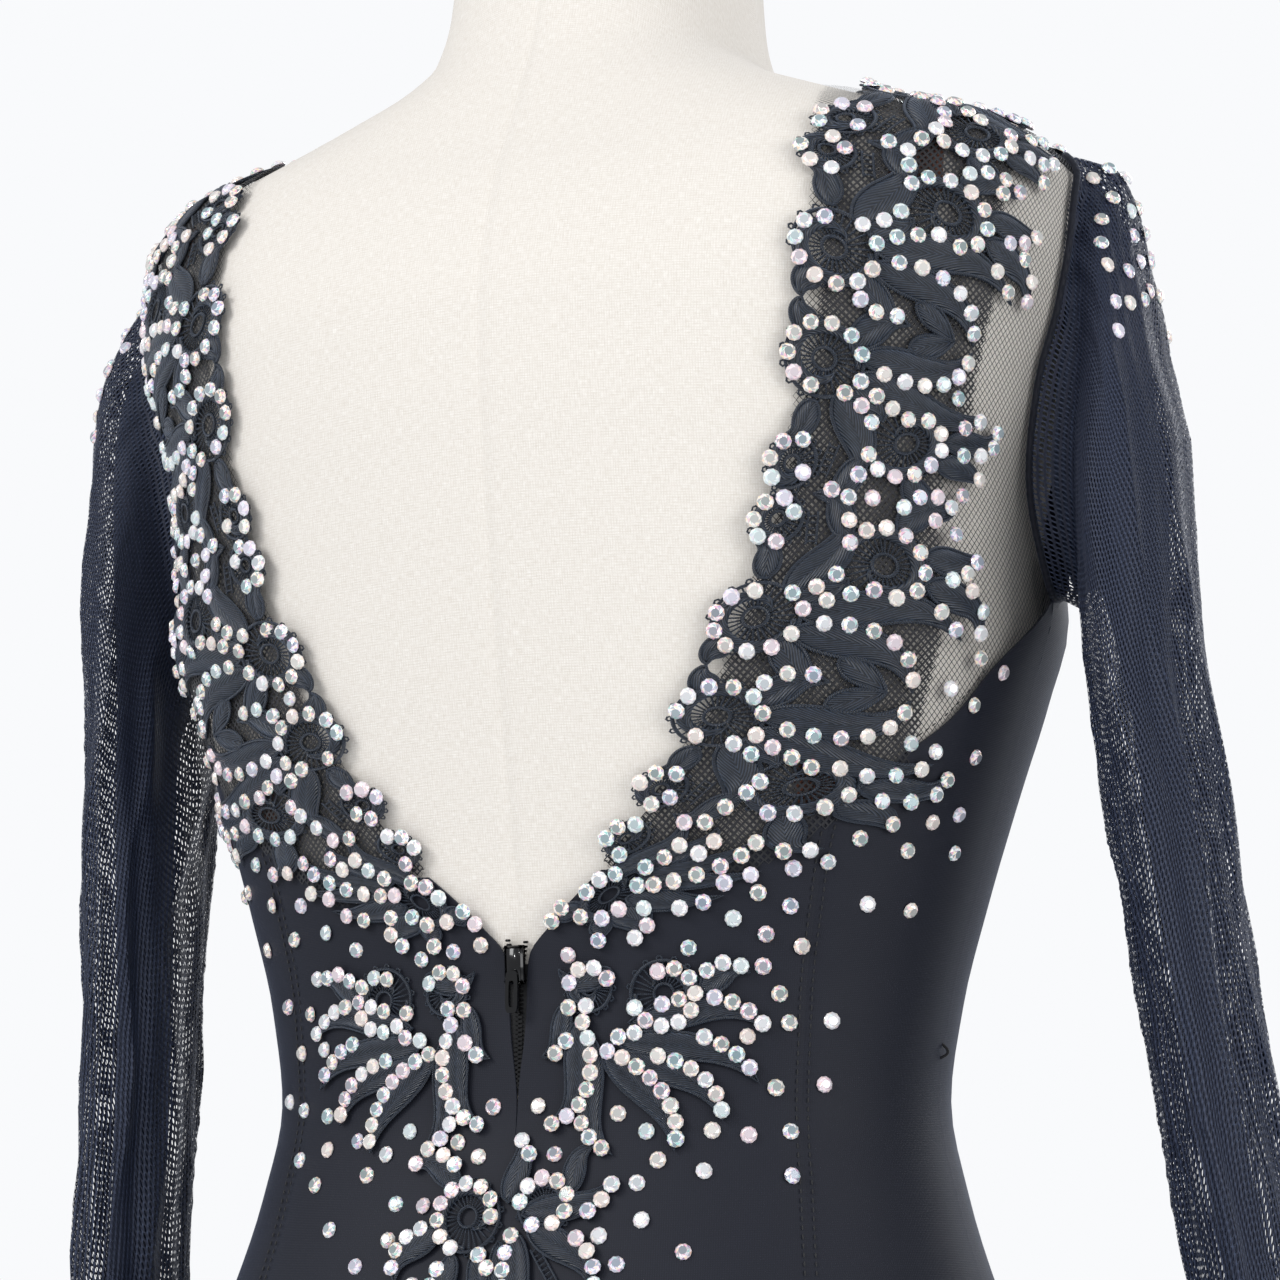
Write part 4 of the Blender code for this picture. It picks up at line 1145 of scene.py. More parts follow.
@dataclass
class Bodice:
    """Jersey panels, net yokes, seams and thread loop."""

    jersey_wall: float = 0.9
    refine: int = 5
    pucker: float = 0.8
    net_mesh: tuple[float, float] = (1.15, 1.35)
    net_thread: float = 0.27
    stitch_pitch: float = 3.1

    def build(self) -> None:
        """Make the bodice's pieces."""
        for side in Side:
            self.back_panels(side)
            self.yoke(side)
            self.binding(side)
            self.thread_loop(side)
        self.front()
        self.stitches()

    def panel(self, name: str, edges: list[list[tuple[float, float]]], side: Side,
              lift: Callable[[Grid], Grid] | None = None) -> None:
        """One jersey panel over four edges.

        Args:
            name: CAD node that the panel stands for.
            edges: Bottom, top, start and end edge.
            side: Which side it lies on.
            lift: Extra relief from turns and heights.
        """
        grid = blended_grid(*[finer(edge, self.refine) for edge in edges])
        turn, height = grid[..., 0], grid[..., 1]
        relief = lift(grid) if lift else np.zeros(turn.shape)
        outer = FIGURE.skin(turn, height, relief) * side.flip
        inner = FIGURE.skin(turn, height, relief - self.jersey_wall) * side.flip
        obj = wall(f"jersey_{name}", outer, inner, JERSEY)
        declare_sheet(outer)
        seat(obj, "jersey", name)

    def seam_relief(self, grid: Grid) -> Grid:
        """Small puckers on both sides of the princess seam, fading into the panel."""
        rows = np.array(Edges.PRINCESS, dtype=float)
        out = np.interp(grid[..., 1], rows[:, 1], rows[:, 0])
        points = FIGURE.point(grid[..., 0], grid[..., 1])
        away = np.abs(np.abs(points[..., 0]) - out)
        ridge = np.sin(grid[..., 1] * 2 * math.pi / 7.5) * np.exp(-(away / 7.0) ** 2)
        groove = np.exp(-(away / 1.6) ** 2)
        return self.pucker * (0.35 * ridge - 0.8 * groove)

    def back_panels(self, side: Side) -> None:
        """Centre back and side back."""
        centre, princess = Edges.back(Edges.CENTRE_BACK), Edges.back(Edges.PRINCESS)
        top_centre = Edges.back(Edges.TOP_CENTRE)
        top_side = Edges.back(Edges.TOP_SIDE) + [(90.0, Edges.UNDERARM)]
        seam = Edges.side_seam()
        hip_centre = Edges.hip(centre[0][0], princess[0][0], len(top_centre) - 1)
        hip_side = Edges.hip(princess[0][0], 90.0, len(top_side) - 1)
        self.panel(f"back_centre_{side.word}", [hip_centre, top_centre, centre, princess], side,
                   self.seam_relief)
        self.panel(f"back_side_{side.word}", [hip_side, top_side, princess, seam], side,
                   self.seam_relief)

    def front(self) -> None:
        """Front in one piece."""
        left = Edges.side_seam() + Edges.armhole(Edges.FRONT_BOW, 1)[1:]
        right = [(360 - turn, height) for turn, height in left]
        shoulder = Edges.shoulder(4)
        top = (shoulder[::-1] + Edges.neckline(10)
               + [(360 - turn, height) for turn, height in shoulder])
        self.panel("front_panel", [Edges.hip(90, 270, len(top) - 1), top, left, right], Side.LEFT)

    def yoke(self, side: Side) -> None:
        """Diamond net with real holes, between the lace, the armhole and the jersey."""
        foot = Edges.back(Edges.TOP_CENTRE + Edges.TOP_SIDE[1:]) + [(90.0, Edges.UNDERARM)]
        armhole = Edges.armhole(Edges.BACK_BOW, -1)[1:]
        shoulder = Edges.shoulder(8)[::-1][1:-1]
        opening = (Edges.back(Edges.OPENING) + [FIGURE.shoulder(Edges.NECK_POINT)])[::-1][2:-1]
        outline = np.concatenate([finer(part, 4) for part in (foot, armhole, shoulder, opening)])
        net = Net(self.net_mesh, self.net_thread, -0.45)
        obj = net.build(f"net_yoke_{side.word}", outline, side)
        seat(obj, "net", f"back_yoke_{side.word}")
        for number, (out, height) in enumerate(((108.0, 106.0), (147.0, 318.0))):
            self.stay(f"stay_{side.word}_{number + 1}", out, height, side)

    def binding(self, side: Side) -> None:
        """Narrow jersey binding round the armhole seam."""
        back = Edges.armhole(Edges.BACK_BOW, -1, 30)
        front = Edges.armhole(Edges.FRONT_BOW, 1, 30)[::-1]
        loop = np.array(back + front[1:-1])
        path = FIGURE.skin(loop[:, 0], loop[:, 1], 0.9) * side.flip
        obj = tube(f"armhole_binding_{side.word}", path, 1.3 * MM, JERSEY, looped=True)
        seat(obj, "jersey")

    def thread_loop(self, side: Side) -> None:
        """Small crocheted thread loop at the waist, on the side seam."""
        share = np.linspace(0, 1, 15)
        path = FIGURE.skin(89.0 + share * 0, 15.0 + 5.0 * share,
                           2.6 * np.sin(math.pi * share) - 0.2) * side.flip
        seat(tube(f"thread_loop_{side.word}", path, 0.55 * MM, SEAM_THREAD), "jersey")

    def stay(self, name: str, out: float, height: float, side: Side) -> None:
        """Small brown stay patch behind the net.

        Args:
            name: Piece's name.
            out: Distance from the centre line.
            height: Height above the waist.
            side: Side of the body.
        """
        out_at, height_at = np.meshgrid(np.linspace(out - 8, out + 8, 9),
                                        np.linspace(height - 11, height + 11, 9))
        turn, level = FIGURE.back(out_at, height_at)
        outer = FIGURE.skin(turn, level, -0.95) * side.flip
        inner = FIGURE.skin(turn, level, -1.25) * side.flip
        obj = wall(name, outer, inner, STAY)
        declare_sheet(outer)
        seat(obj, "net")

    def stitches(self) -> None:
        """Short stitches down the princess seams and round the jersey's top edge."""
        bpy.ops.mesh.primitive_uv_sphere_add(segments=8, ring_count=5, radius=1.0)
        piece = bpy.context.object
        piece.name = "stitch_model"
        piece.data.transform(((1.0, 0, 0, 0), (0, 0.28, 0, 0), (0, 0, 0.25, 0), (0, 0, 0, 1)))
        repeater = Repeater("stitch_row", piece, SEAM_THREAD, MM, 0.05 * MM, 3)
        rows = []
        lines = [(Edges.back(Edges.PRINCESS), 2.0), (Edges.back(Edges.PRINCESS), -2.0),
                 (Edges.back(Edges.TOP_CENTRE + Edges.TOP_SIDE[1:]), -3.0)]
        for side in Side:
            for line, away in lines:
                rows += self.along_line(finer(line, 12), away, side)
        obj = repeater.spread_over("seam_stitches", rows)
        bpy.data.objects.remove(piece)
        seat(obj, "jersey")

    def along_line(self, line: Grid, away: float, side: Side) -> list[PointRow]:
        """Places for stitches along a line on the figure.

        Args:
            line: Turns and heights.
            away: Millimetres to one side of the line.
            side: Side of the body.

        Returns:
            A row for each stitch.
        """
        points = FIGURE.point(line[:, 0], line[:, 1])
        run = run_along(points)
        rows = []
        for at in np.arange(2.0, run[-1] - 2.0, self.stitch_pitch):
            turn, height = (float(np.interp(at, run, line[:, k])) for k in (0, 1))
            ahead = [float(np.interp(at + 1.0, run, line[:, k])) for k in (0, 1)]
            normal = FIGURE.normal(turn, height)
            heading = unit(FIGURE.point(*ahead) - FIGURE.point(turn, height))
            sideways = np.cross(normal, heading)
            place = (FIGURE.point(turn, height) + sideways * away + normal * 0.05) * MM
            rows.append(PointRow(place * side.flip, normal * side.flip, heading * side.flip))
        return rows


@dataclass
class Sleeve:
    """Long sleeve of stretch mesh with soft lengthwise folds."""

    side: Side
    splay: float = 0.0
    around: int = 132
    rows: int = 150
    cloth: float = 0.35
    fold: float = 2.6
    slim: float = 1.0
    hang: tuple[tuple[float, float, float], ...] = ((0.0, 0.0, 0.0), (340.0, 0.0, 0.0))
    surface: tuple[np.ndarray, np.ndarray] | None = None

    RINGS = (
        # outer x, outer height, inner x, inner height, half depth, fold depth, centre y
        (192, 337, 179, 171, 40, 0.0, -15), (203, 322, 180.5, 163, 45, 0.5, -11),
        (210, 290, 180.5, 150, 48, 1.5, -6), (214, 240, 179, 125, 48, 2.2, -1),
        (216, 170, 178, 90, 46, 2.8, 4), (217, 90, 178, 45, 44, 3.2, 5),
        (217, 20, 178, -5, 43, 3.2, 6), (218, -50, 179, -65, 42, 3.0, 7),
        (218, -120, 180, -128, 41, 2.6, 8), (217, -185, 181, -189, 38, 1.8, 9),
        (216, -240, 183, -241, 35, 0.8, 10), (215.5, -252, 183.5, -252, 34.5, 0.5, 10),
    )
    SPLAY_FROM = 165.0
    FOLDS = 4
    # height above the waist, how far the outer side swells, how far the whole sleeve moves out
    LEFT_HANG = ((38, 0, 0), (76, 3, 0), (150, 4, 0), (188, 6, 0), (225, 10, 0), (262, 15, 0),
                 (290, 16, 0), (320, 11, 0), (345, 0, 0))
    RIGHT_HANG = ((-245, 0, 9), (-60, 0, 9), (40, 0, 6), (173, 6, 1), (233, 5, 0), (263, -2, 0),
                  (300, -5, 0), (345, 0, 0))

    def head_ring(self, angles: np.ndarray, lift: float) -> np.ndarray:
        """Ring of the sleeve on the armhole seam, in millimetres."""
        middle = (Edges.UNDERARM + Edges.SHOULDER_TIP) / 2
        half = (Edges.SHOULDER_TIP - Edges.UNDERARM) / 2
        bow = np.where(np.sin(angles) > 0, Edges.BACK_BOW, Edges.FRONT_BOW)
        turn = 90.0 - bow * np.sin(angles)
        return FIGURE.skin(turn, middle + half * np.cos(angles), lift) / MM

    def rings(self) -> np.ndarray:
        """Coarse rings from the armhole to the wrist, in millimetres."""
        angles = circle(self.around)
        rings = [self.head_ring(angles, 1.6)]
        for outer_x, outer_z, inner_x, inner_z, depth, fold, centre_y in self.RINGS:
            folds = 1 - fold / depth * (1 - np.cos(self.FOLDS * angles + 0.6))
            share = np.cos(angles) * folds
            x = (outer_x + inner_x) / 2 + (outer_x - inner_x) / 2 * share
            z = (outer_z + inner_z) / 2 + (outer_z - inner_z) / 2 * share
            x = x + self.splay * np.clip(self.SPLAY_FROM - z, 0, None)
            rings.append(np.stack((x, centre_y + depth * np.sin(angles) * folds, WAIST + z), -1))
        return np.array(rings)

    def build(self) -> None:
        """Make the sleeve."""
        coarse = self.rings()
        runs = run_along(coarse.mean(axis=1))
        at = np.linspace(0, runs[-1], self.rows)
        fine = np.stack([eased(runs, coarse[:, j, k], at) for j in range(self.around)
                         for k in range(3)], axis=1).reshape(self.rows, self.around, 3)
        angles = circle(self.around)[None, :]
        down = (at / runs[-1])[:, None]
        middle = fine[..., 1].mean(axis=1, keepdims=True)
        narrowing = 1 - (1 - self.slim) * np.clip(down * 2.2, 0, 1)
        fine[..., 1] = middle + (fine[..., 1] - middle) * narrowing
        heights, swell, drift = np.array(self.hang, dtype=float).T
        level = fine[..., 2] - WAIST
        fine[..., 0] += (np.interp(level, heights, swell) * np.clip(np.cos(angles), 0, 1)
                         + np.interp(level, heights, drift))
        bent = angles + 0.5 * np.sin(3.1 * down) + 0.12 * np.sin(23 * down)
        pleat = 1 - np.abs(np.sin(4.5 * bent + 0.8)) ** 0.6
        crease = (self.fold * pleat * np.sin(math.pi * np.clip(down * 1.15, 0, 1)) ** 0.4
                  + 0.7 * np.sin(14 * angles - 7 * down) * np.sin(math.pi * down)
                  + 1.0 * np.sin(3 * angles + 26 * down) * np.exp(-((down - 0.2) / 0.15) ** 2)
                  + 0.5 * np.sin(6 * angles + 40 * down))
        gathers = 1.2 * np.cos(30 * angles) * np.exp(-(down / 0.06)) * (np.cos(angles) > 0.1)
        normals = self.outward_normals(fine)
        fade = np.clip(down * 14, 0, 1)
        outer = fine + normals * ((crease * fade + gathers * np.clip(down * 60, 0, 1)
                                   - self.fold * 0.4 * fade)[..., None])
        inner = outer - normals * self.cloth
        flip = self.side.flip
        obj = wall(f"sleeve_mesh_{self.side.word}", outer * MM * flip, inner * MM * flip, MESH,
                   closed=True)
        closed = np.concatenate((outer, outer[:, :1]), axis=1) * MM
        declare_sheet(closed)
        seat(obj, "stretch_mesh", f"sleeve_{self.side.word}")
        self.tuck(fine[2::3, ::2], normals[2::3, ::2])
        self.surface = outer * MM * flip, normals * flip

    def tuck(self, fine: np.ndarray, normals: np.ndarray) -> None:
        """Fold of the sleeve's own cloth inside it, which darkens its middle.

        Args:
            fine: Rings of the sleeve in millimetres.
            normals: Outward normals of the rings.
        """
        centres = fine.mean(axis=1, keepdims=True)
        sway = 1.8 * np.sin(np.linspace(0, 9, len(fine)))[:, None]
        narrowed = np.clip(np.linspace(0, 4.5, len(fine)), 0, 1)[:, None, None] ** 0.7
        shrunk = centres + (fine - centres) * (0.94 - narrowed * np.array((0.6, 0.44, 0.44)))
        shrunk[..., 0] += sway
        flip = self.side.flip
        outer, inner = shrunk * MM * flip, (shrunk - normals * self.cloth) * MM * flip
        obj = wall(f"sleeve_tuck_{self.side.word}", outer, inner, FOLDED_MESH, closed=True)
        declare_sheet(np.concatenate((outer, outer[:, :1]), axis=1))
        seat(obj, "stretch_mesh")

    @staticmethod
    def outward_normals(points: np.ndarray) -> np.ndarray:
        """Outward normals of rings of points."""
        around = np.roll(points, -1, axis=1) - np.roll(points, 1, axis=1)
        normals = unit(np.cross(around, np.gradient(points, axis=0)))
        centres = points.mean(axis=1, keepdims=True)
        facing = np.sum(normals * (points - centres), axis=2).sum()
        return normals if facing > 0 else -normals


@dataclass
class Skirt:
    """Flared skirt in four gores with soft flutes."""

    cloth: float = 0.9
    per_flute: int = 22
    rows: int = 80

    ROWS = np.array([
        # drop, half width, half depth, flute depth
        (0, 178, 120, 0), (60, 182, 132, 2), (160, 210, 168, 6), (300, 249, 221, 12),
        (450, 297, 281, 18), (620, 356, 350, 24), (790, 415, 415, 30),
    ], dtype=float)
    FLUTES = 12
    GORES = (("back_left", 0), ("front_left", 90), ("front_right", 180), ("back_right", 270))

    def reach(self, turn: np.ndarray, drop: np.ndarray) -> np.ndarray:
        """Distance of the cloth from the pole's axis, in millimetres."""
        width, depth, flute = (eased(self.ROWS[:, 0], self.ROWS[:, k], drop) for k in (1, 2, 3))
        power = Figure.BACK_POWER + (2 - Figure.BACK_POWER) * drop / self.ROWS[-1, 0]
        angle = np.radians(turn)
        made = ((np.abs(np.sin(angle)) / width) ** power
                + (np.abs(np.cos(angle)) / depth) ** power) ** (-1 / power)
        hip = np.linalg.norm(FIGURE.point(turn, Edges.HIP)[..., :2], axis=-1)
        top = np.clip(1 - drop / 60, 0, 1)
        made = made * (1 - top) + hip * top
        soft = np.cos(self.FLUTES * angle) + 0.22 * np.cos(2 * self.FLUTES * angle + 1.1)
        small = 0.18 * np.sin(5 * angle + drop / 130) * flute
        return made - flute * soft + small

    def build(self) -> None:
        """Make the four gores."""
        for word, first in self.GORES:
            turns = np.linspace(first, first + 90, self.FLUTES // 4 * self.per_flute + 1)
            drops = np.linspace(0, self.ROWS[-1, 0], self.rows)
            turn, drop = np.meshgrid(turns, drops)
            outer, inner = (self.cloth_points(turn, drop, deep) for deep in (0, self.cloth))
            obj = wall(f"skirt_gore_{word}", outer, inner, JERSEY)
            declare_sheet(outer)
            seat(obj, "jersey", f"skirt_{word}")

    def cloth_points(self, turn: np.ndarray, drop: np.ndarray, inward: float) -> np.ndarray:
        """Points of the skirt, moved inwards by some millimetres, in metres."""
        reach = self.reach(turn, drop) - inward
        angle = np.radians(turn)
        height = WAIST + Edges.HIP - drop
        return np.stack((reach * np.sin(angle), reach * np.cos(angle), height), -1) * MM


class Lay:
    """A flat patch of lace laid on the dress."""

    def spread(self, along: np.ndarray, across: np.ndarray) -> tuple[np.ndarray, np.ndarray]:
        """Turns and heights of flat places."""
        raise NotImplementedError

    def points(self, flat: np.ndarray, side: Side) -> np.ndarray:
        """Points in metres from rows of along, across and rise in millimetres."""
        turn, height = self.spread(flat[:, 0], flat[:, 1])
        return FIGURE.skin(turn, height, flat[:, 2]) * side.flip

    def normals(self, flat: np.ndarray, side: Side) -> np.ndarray:
        """Outward normals at flat places."""
        return FIGURE.normal(*self.spread(flat[:, 0], flat[:, 1])) * side.flip


class Band(Lay):
    """Strip of lace beside the opening, from the zip up and over the shoulder."""

    ROWS = (
        # inner x, inner height, outer x, outer height, on the back (1), seam (0), front (-1)
        (11, 57, 41, 48, 1), (27, 78, 72, 65, 1), (47, 102, 110, 86, 1), (65, 129, 140, 114, 1),
        (81, 161, 151, 152, 1), (97, 200, 152, 195, 1), (108, 245, 161, 231, 1),
        (112, 285, 170, 267, 1), (111, 325, 175, 305, 1), (100, 368, 171, 341, 0),
        (96, 357, 159, 338, -1),
    )
    BREADTH = 60.0

    def __init__(self) -> None:
        """Measure the strip along its middle."""
        inner, outer = [], []
        for inner_x, inner_z, outer_x, outer_z, face in self.ROWS:
            if face == 0:
                inner.append(FIGURE.shoulder(inner_x))
                outer.append(FIGURE.shoulder(outer_x))
            else:
                place = FIGURE.back if face > 0 else FIGURE.front
                inner.append([float(v) for v in place(inner_x, inner_z)])
                outer.append([float(v) for v in place(outer_x, outer_z)])
        inner, outer = np.array(inner), np.array(outer)
        self.runs = run_along(FIGURE.point(*((inner + outer) / 2).T))
        self.length = float(self.runs[-1])
        self.table = [*inner.T, *outer.T]

    def read(self, column: int, along: np.ndarray) -> np.ndarray:
        """One column of the strip's table."""
        return eased(self.runs, self.table[column], along)

    def spread(self, along: np.ndarray, across: np.ndarray) -> tuple[np.ndarray, np.ndarray]:
        """Turns and heights of places along the strip and across its 60 mm of design."""
        share = np.asarray(across) / self.BREADTH
        turn = self.read(0, along) * (1 - share) + self.read(2, along) * share
        height = self.read(1, along) * (1 - share) + self.read(3, along) * share
        return turn, height


@dataclass
class Cell(Lay):
    """One motif's stretch of the band, turned end for end on every other one."""

    band: Band
    centre: float
    squeeze: float
    turned: int

    def spread(self, along: np.ndarray, across: np.ndarray) -> tuple[np.ndarray, np.ndarray]:
        """Turns and heights of the motif's own flat places."""
        return self.band.spread(self.centre + self.turned * along * self.squeeze, across)


@dataclass
class Spray(Lay):
    """A motif laid on the back about its own centre."""

    out: float
    middle: float

    def spread(self, along: np.ndarray, across: np.ndarray) -> tuple[np.ndarray, np.ndarray]:
        """Turns and heights of the motif's own flat places."""
        return FIGURE.back(self.out + along, self.middle + across)


@dataclass(frozen=True)
class Leaf:
    """Satin leaf: root, tip, breadth and bow, in millimetres."""

    root: tuple[float, float]
    tip: tuple[float, float]
    breadth: float
    bow: float

    def middle(self, share: np.ndarray) -> np.ndarray:
        """Points on the leaf's vein."""
        root, tip = np.array(self.root), np.array(self.tip)
        run = tip - root
        side = np.array((-run[1], run[0])) / np.linalg.norm(run)
        share = np.asarray(share)[..., None]
        return root + run * share + side * self.bow * 9.5 * share ** 2 * (1 - share)


@dataclass(frozen=True)
class Scroll:
    """Round scroll with an openwork wheel: centre, radius, hole and where its tail turns in."""

    centre: tuple[float, float]
    radius: float
    hole: float
    tail: float = 200.0


@dataclass(frozen=True)
class Motif:
    """Layout of one lace motif."""

    scrolls: tuple[Scroll, ...]
    leaves: tuple[Leaf, ...]
    ladders: tuple[tuple[tuple[float, float], tuple[float, float], float], ...] = ()


def leaves(*rows: tuple[float, ...]) -> tuple[Leaf, ...]:
    """Leaves from rows of root, tip, breadth and bow."""
    return tuple(Leaf(row[:2], row[2:4], row[4], row[5]) for row in rows)


SPRAY = Motif(
    (Scroll((-11, 9.5), 11.5, 4.0, 235), Scroll((8, 38), 12, 4.2, 65),
     Scroll((19, 7), 8, 2.8, 290)),
    leaves((-3, 15, 24, 24, 9.5, 4), (-8, 19, -9, 59, 9.5, -4), (-13, 19, -26, 50, 9.5, -4),
           (-17, 16, -27, 31, 8, 2), (15, 28, 27, 16, 8, 3), (19, 41, 27, 60, 8.5, -3),
           (5, 49, -7, 64, 8.5, -3), (11, 49, 15, 66, 8, 1), (-4, 18, 3, 29, 6.5, 1),
           (-18, 5, -27, 2, 7, 1), (1, 9, 12, 2, 7, 2), (-20, 32, -27, 44, 6.5, 0)),
    (((-3, 26), (-3, 50), 3.6), ((-16, 27), (-17, 48), 3.2), ((12, 18), (22, 17), 2.8)),
)
FOOT = Motif(
    (Scroll((-8, 20), 12, 4.4, 235), Scroll((14, 8), 8, 2.8, 280)),
    leaves((-2, 26, 25, 44, 9.5, 3), (-12, 27, -22, 52, 9, -3), (-3, 14, 26, 20, 9, 4),
           (-7, 28, 2, 58, 9.5, 2), (6, 26, 26, 31, 7.5, 2), (-16, 14, -24, 2, 8, 2),
           (0, 30, 14, 56, 8, 2), (-17, 24, -26, 36, 7.5, -2)),
    (((-11, 34), (-5, 54), 3.2),),
)
FLANK = Motif(
    (Scroll((5, 23), 12, 4.2, 330), Scroll((-21, 25), 8.5, 3.0, 150)),
    leaves((-7, 13, 37, 12, 9.5, 4), (-12, 8, 35, -7, 9.5, 4), (-24, 15, -35, -21, 9.5, 4),
           (-21, 9, -12, -31, 9.5, -4), (-16, 4, 9, -30, 9.5, 3), (-10, 3, 24, -20, 8.5, 4),
           (17, 24, 33, 30, 8, 2), (-12, 30, -32, 32, 7, 3), (-29, 20, -38, 2, 7, 2)),
    (((-28, 6), (-26, -14), 3.0),),
)
CENTRE = Motif(
    (Scroll((14, 4), 12.5, 4.4, 60), Scroll((-14, 8), 10, 3.6, 130)),
    leaves((-6, 5, -38, 17, 9, 3), (-9, 1, -35, -20, 9.5, -3), (-4, -1, -18, -36, 9.5, 3),
           (1, -4, -3, -40, 9, -2), (18, -8, 17, -38, 9, 3), (24, 0, 39, -18, 9, 3),
           (0, 9, -2, 31, 8.5, 2), (18, 15, 38, 20, 8.5, 3), (9, -8, 6, -34, 8, -2),
           (-22, 12, -30, 28, 7.5, -2)),
    (((-12, -6), (-24, -22), 3.0), ((20, -12), (28, -24), 2.8)),
)


class Lace:
    """Builds guipure motifs, thread by thread."""

    SECTIONS = 17
    PROFILE = np.linspace(-1, 1, 9)
    RIM = 0.9
    CROWN = 1.0
    VEIN = 0.75
    LIFT = 0.5

    def __init__(self) -> None:
        """Start with no threads."""
        self.points: list[np.ndarray] = []
        self.faces: list[tuple[int, ...]] = []
        self.uv: list[np.ndarray] = []
        self.count = 0

    def add(self, rings: np.ndarray, uv: np.ndarray, looped: bool = False) -> None:
        """Join rings of points into one closed thread or pad.

        Args:
            rings: Rings in flat millimetres, along, across and rise.
            uv: Place on the thread of each point, in metres.
            looped: Whether the last ring joins the first, without a face at each end.
        """
        rows, columns = rings.shape[:2]
        start = self.count
        self.points.append(rings.reshape(-1, 3))
        self.uv.append(uv.reshape(-1, 2))
        self.count += rows * columns
        self.faces += grid_faces(rows, columns, True, start)
        if looped:
            last = start + (rows - 1) * columns
            for j in range(columns):
                k = (j + 1) % columns
                self.faces.append((last + j, last + k, start + k, start + j))
        else:
            self.faces.append(tuple(range(start + columns - 1, start - 1, -1)))
            self.faces.append(tuple(range(start + (rows - 1) * columns, start + rows * columns)))

    def pad(self, path: np.ndarray, half: np.ndarray, crown: float, base: float) -> None:
        """Padded satin shape with a vein along a path.

        Args:
            path: Points of its middle.
            half: Half breadth at each point.
            crown: Height of its rounded sides.
            base: Height of its foot.
        """
        side, run = left_of(headings(path)), run_along(path)
        full = np.clip(half / half.max(), 0.05, 1) ** 0.5
        v = self.PROFILE
        dome = (1 - np.abs(v) ** 2.4) ** 0.6 * crown - self.VEIN * np.exp(-(v / 0.16) ** 2)
        top = [np.concatenate((path + side * (half * k)[:, None],
                               (base + self.RIM * full + d * full)[:, None]), axis=1)
               for k, d in zip(v, dome)]
        under = [np.concatenate((path + side * (half * k)[:, None],
                                 np.full((len(path), 1), base)), axis=1) for k in (1, -1)]
        rings = np.stack(top + under, axis=1)
        across = np.concatenate((v, (1, -1)))
        uv = np.stack((np.outer(half, np.abs(across)) + run[:, None] * 0.34,
                       np.outer(half, across)), axis=-1) * MM
        self.add(rings, uv)

    def cord(self, path: np.ndarray, radius: np.ndarray | float, rise: float, sides: int = 6,
             looped: bool = False) -> None:
        """Round thread along a path.

        Args:
            path: Points of its middle.
            radius: Its radius, or one for each point.
            rise: Height of its middle.
            sides: Points in each ring.
            looped: Whether its ends join.
        """
        side, run = left_of(headings(path, looped)), run_along(path)
        radius = np.broadcast_to(np.asarray(radius, float), (len(path),))
        rings, places = [], []
        for a in circle(sides):
            flat = path + side * (radius * math.cos(a))[:, None]
            up = rise + radius * math.sin(a)
            rings.append(np.concatenate((flat, up[:, None]), axis=1))
            places.append(np.stack((run + radius * a * 0.8, radius * a), axis=1))
        self.add(np.stack(rings, axis=1), np.stack(places, axis=1) * MM, looped=looped)

    def leaf(self, leaf: Leaf, base: float) -> None:
        """Satin leaf with a cord round its edge."""
        share = np.linspace(0, 1, self.SECTIONS)
        path = leaf.middle(share)
        swell = np.sin(math.pi * np.clip(share, 0.004, 0.996) ** 0.72) ** 0.85
        half = leaf.breadth / 2 * swell
        self.pad(path, half * 0.9, self.CROWN, base)
        out = left_of(headings(path)) * half[:, None]
        left, right = path + out, path - out
        outline = np.concatenate((left[:-1], right[:0:-1]))
        self.cord(outline, 0.5, base + 0.9, 5, looped=True)

    def scroll(self, scroll: Scroll, base: float) -> None:
        """Comma-shaped scroll: a swelling satin crescent that curls in over a spoked wheel."""
        centre = np.array(scroll.centre)
        ring = on_circle(circle(30))
        self.cord(centre + ring * (scroll.radius - 0.7), 0.6, base + 0.8, 5, looped=True)
        self.cord(centre + ring[::2] * scroll.hole * 0.8, 0.5, base + 0.9, 5, looped=True)
        share = np.linspace(0, 1, 34)
        sweep = np.radians(scroll.tail - 150 + 330 * share)
        reach = scroll.radius - 2.1 - (scroll.radius - scroll.hole) * 0.72 * share ** 3
        arc = centre + on_circle(sweep) * reach[:, None]
        half = 2.1 * np.sin(math.pi * np.clip(share, 0.03, 0.97) ** 0.8) ** 0.6
        self.pad(arc, half, 1.1, base)
        for way in on_circle(np.radians(np.arange(0, 360, 13))):
            span = np.array((scroll.hole * 0.8, scroll.radius - 0.9))
            self.cord(centre + way * span[:, None], 0.27, base + 0.5, 4)
        for way in on_circle(np.radians(np.arange(0, 360, 24))):
            self.cord(centre + way * scroll.radius + ring[::5] * 0.85, 0.32, base + 0.6, 4,
                      looped=True)

    def ladder(self, first: tuple[float, float], last: tuple[float, float], width: float,
               base: float) -> None:
        """Two rails with rungs between them."""
        path = np.linspace(first, last, 9)
        length = float(np.linalg.norm(path[-1] - path[0]))
        way = (path[-1] - path[0]) / length
        side = np.array((-way[1], way[0]))
        for hand in (1, -1):
            self.cord(path + side * width / 2 * hand, 0.35, base + 0.6, 5)
        for at in np.arange(1.0, length, 1.9):
            middle = path[0] + way * at
            ends = np.array((middle - side * width / 2, middle + side * width / 2))
            self.cord(ends, 0.28, base + 0.6, 4)

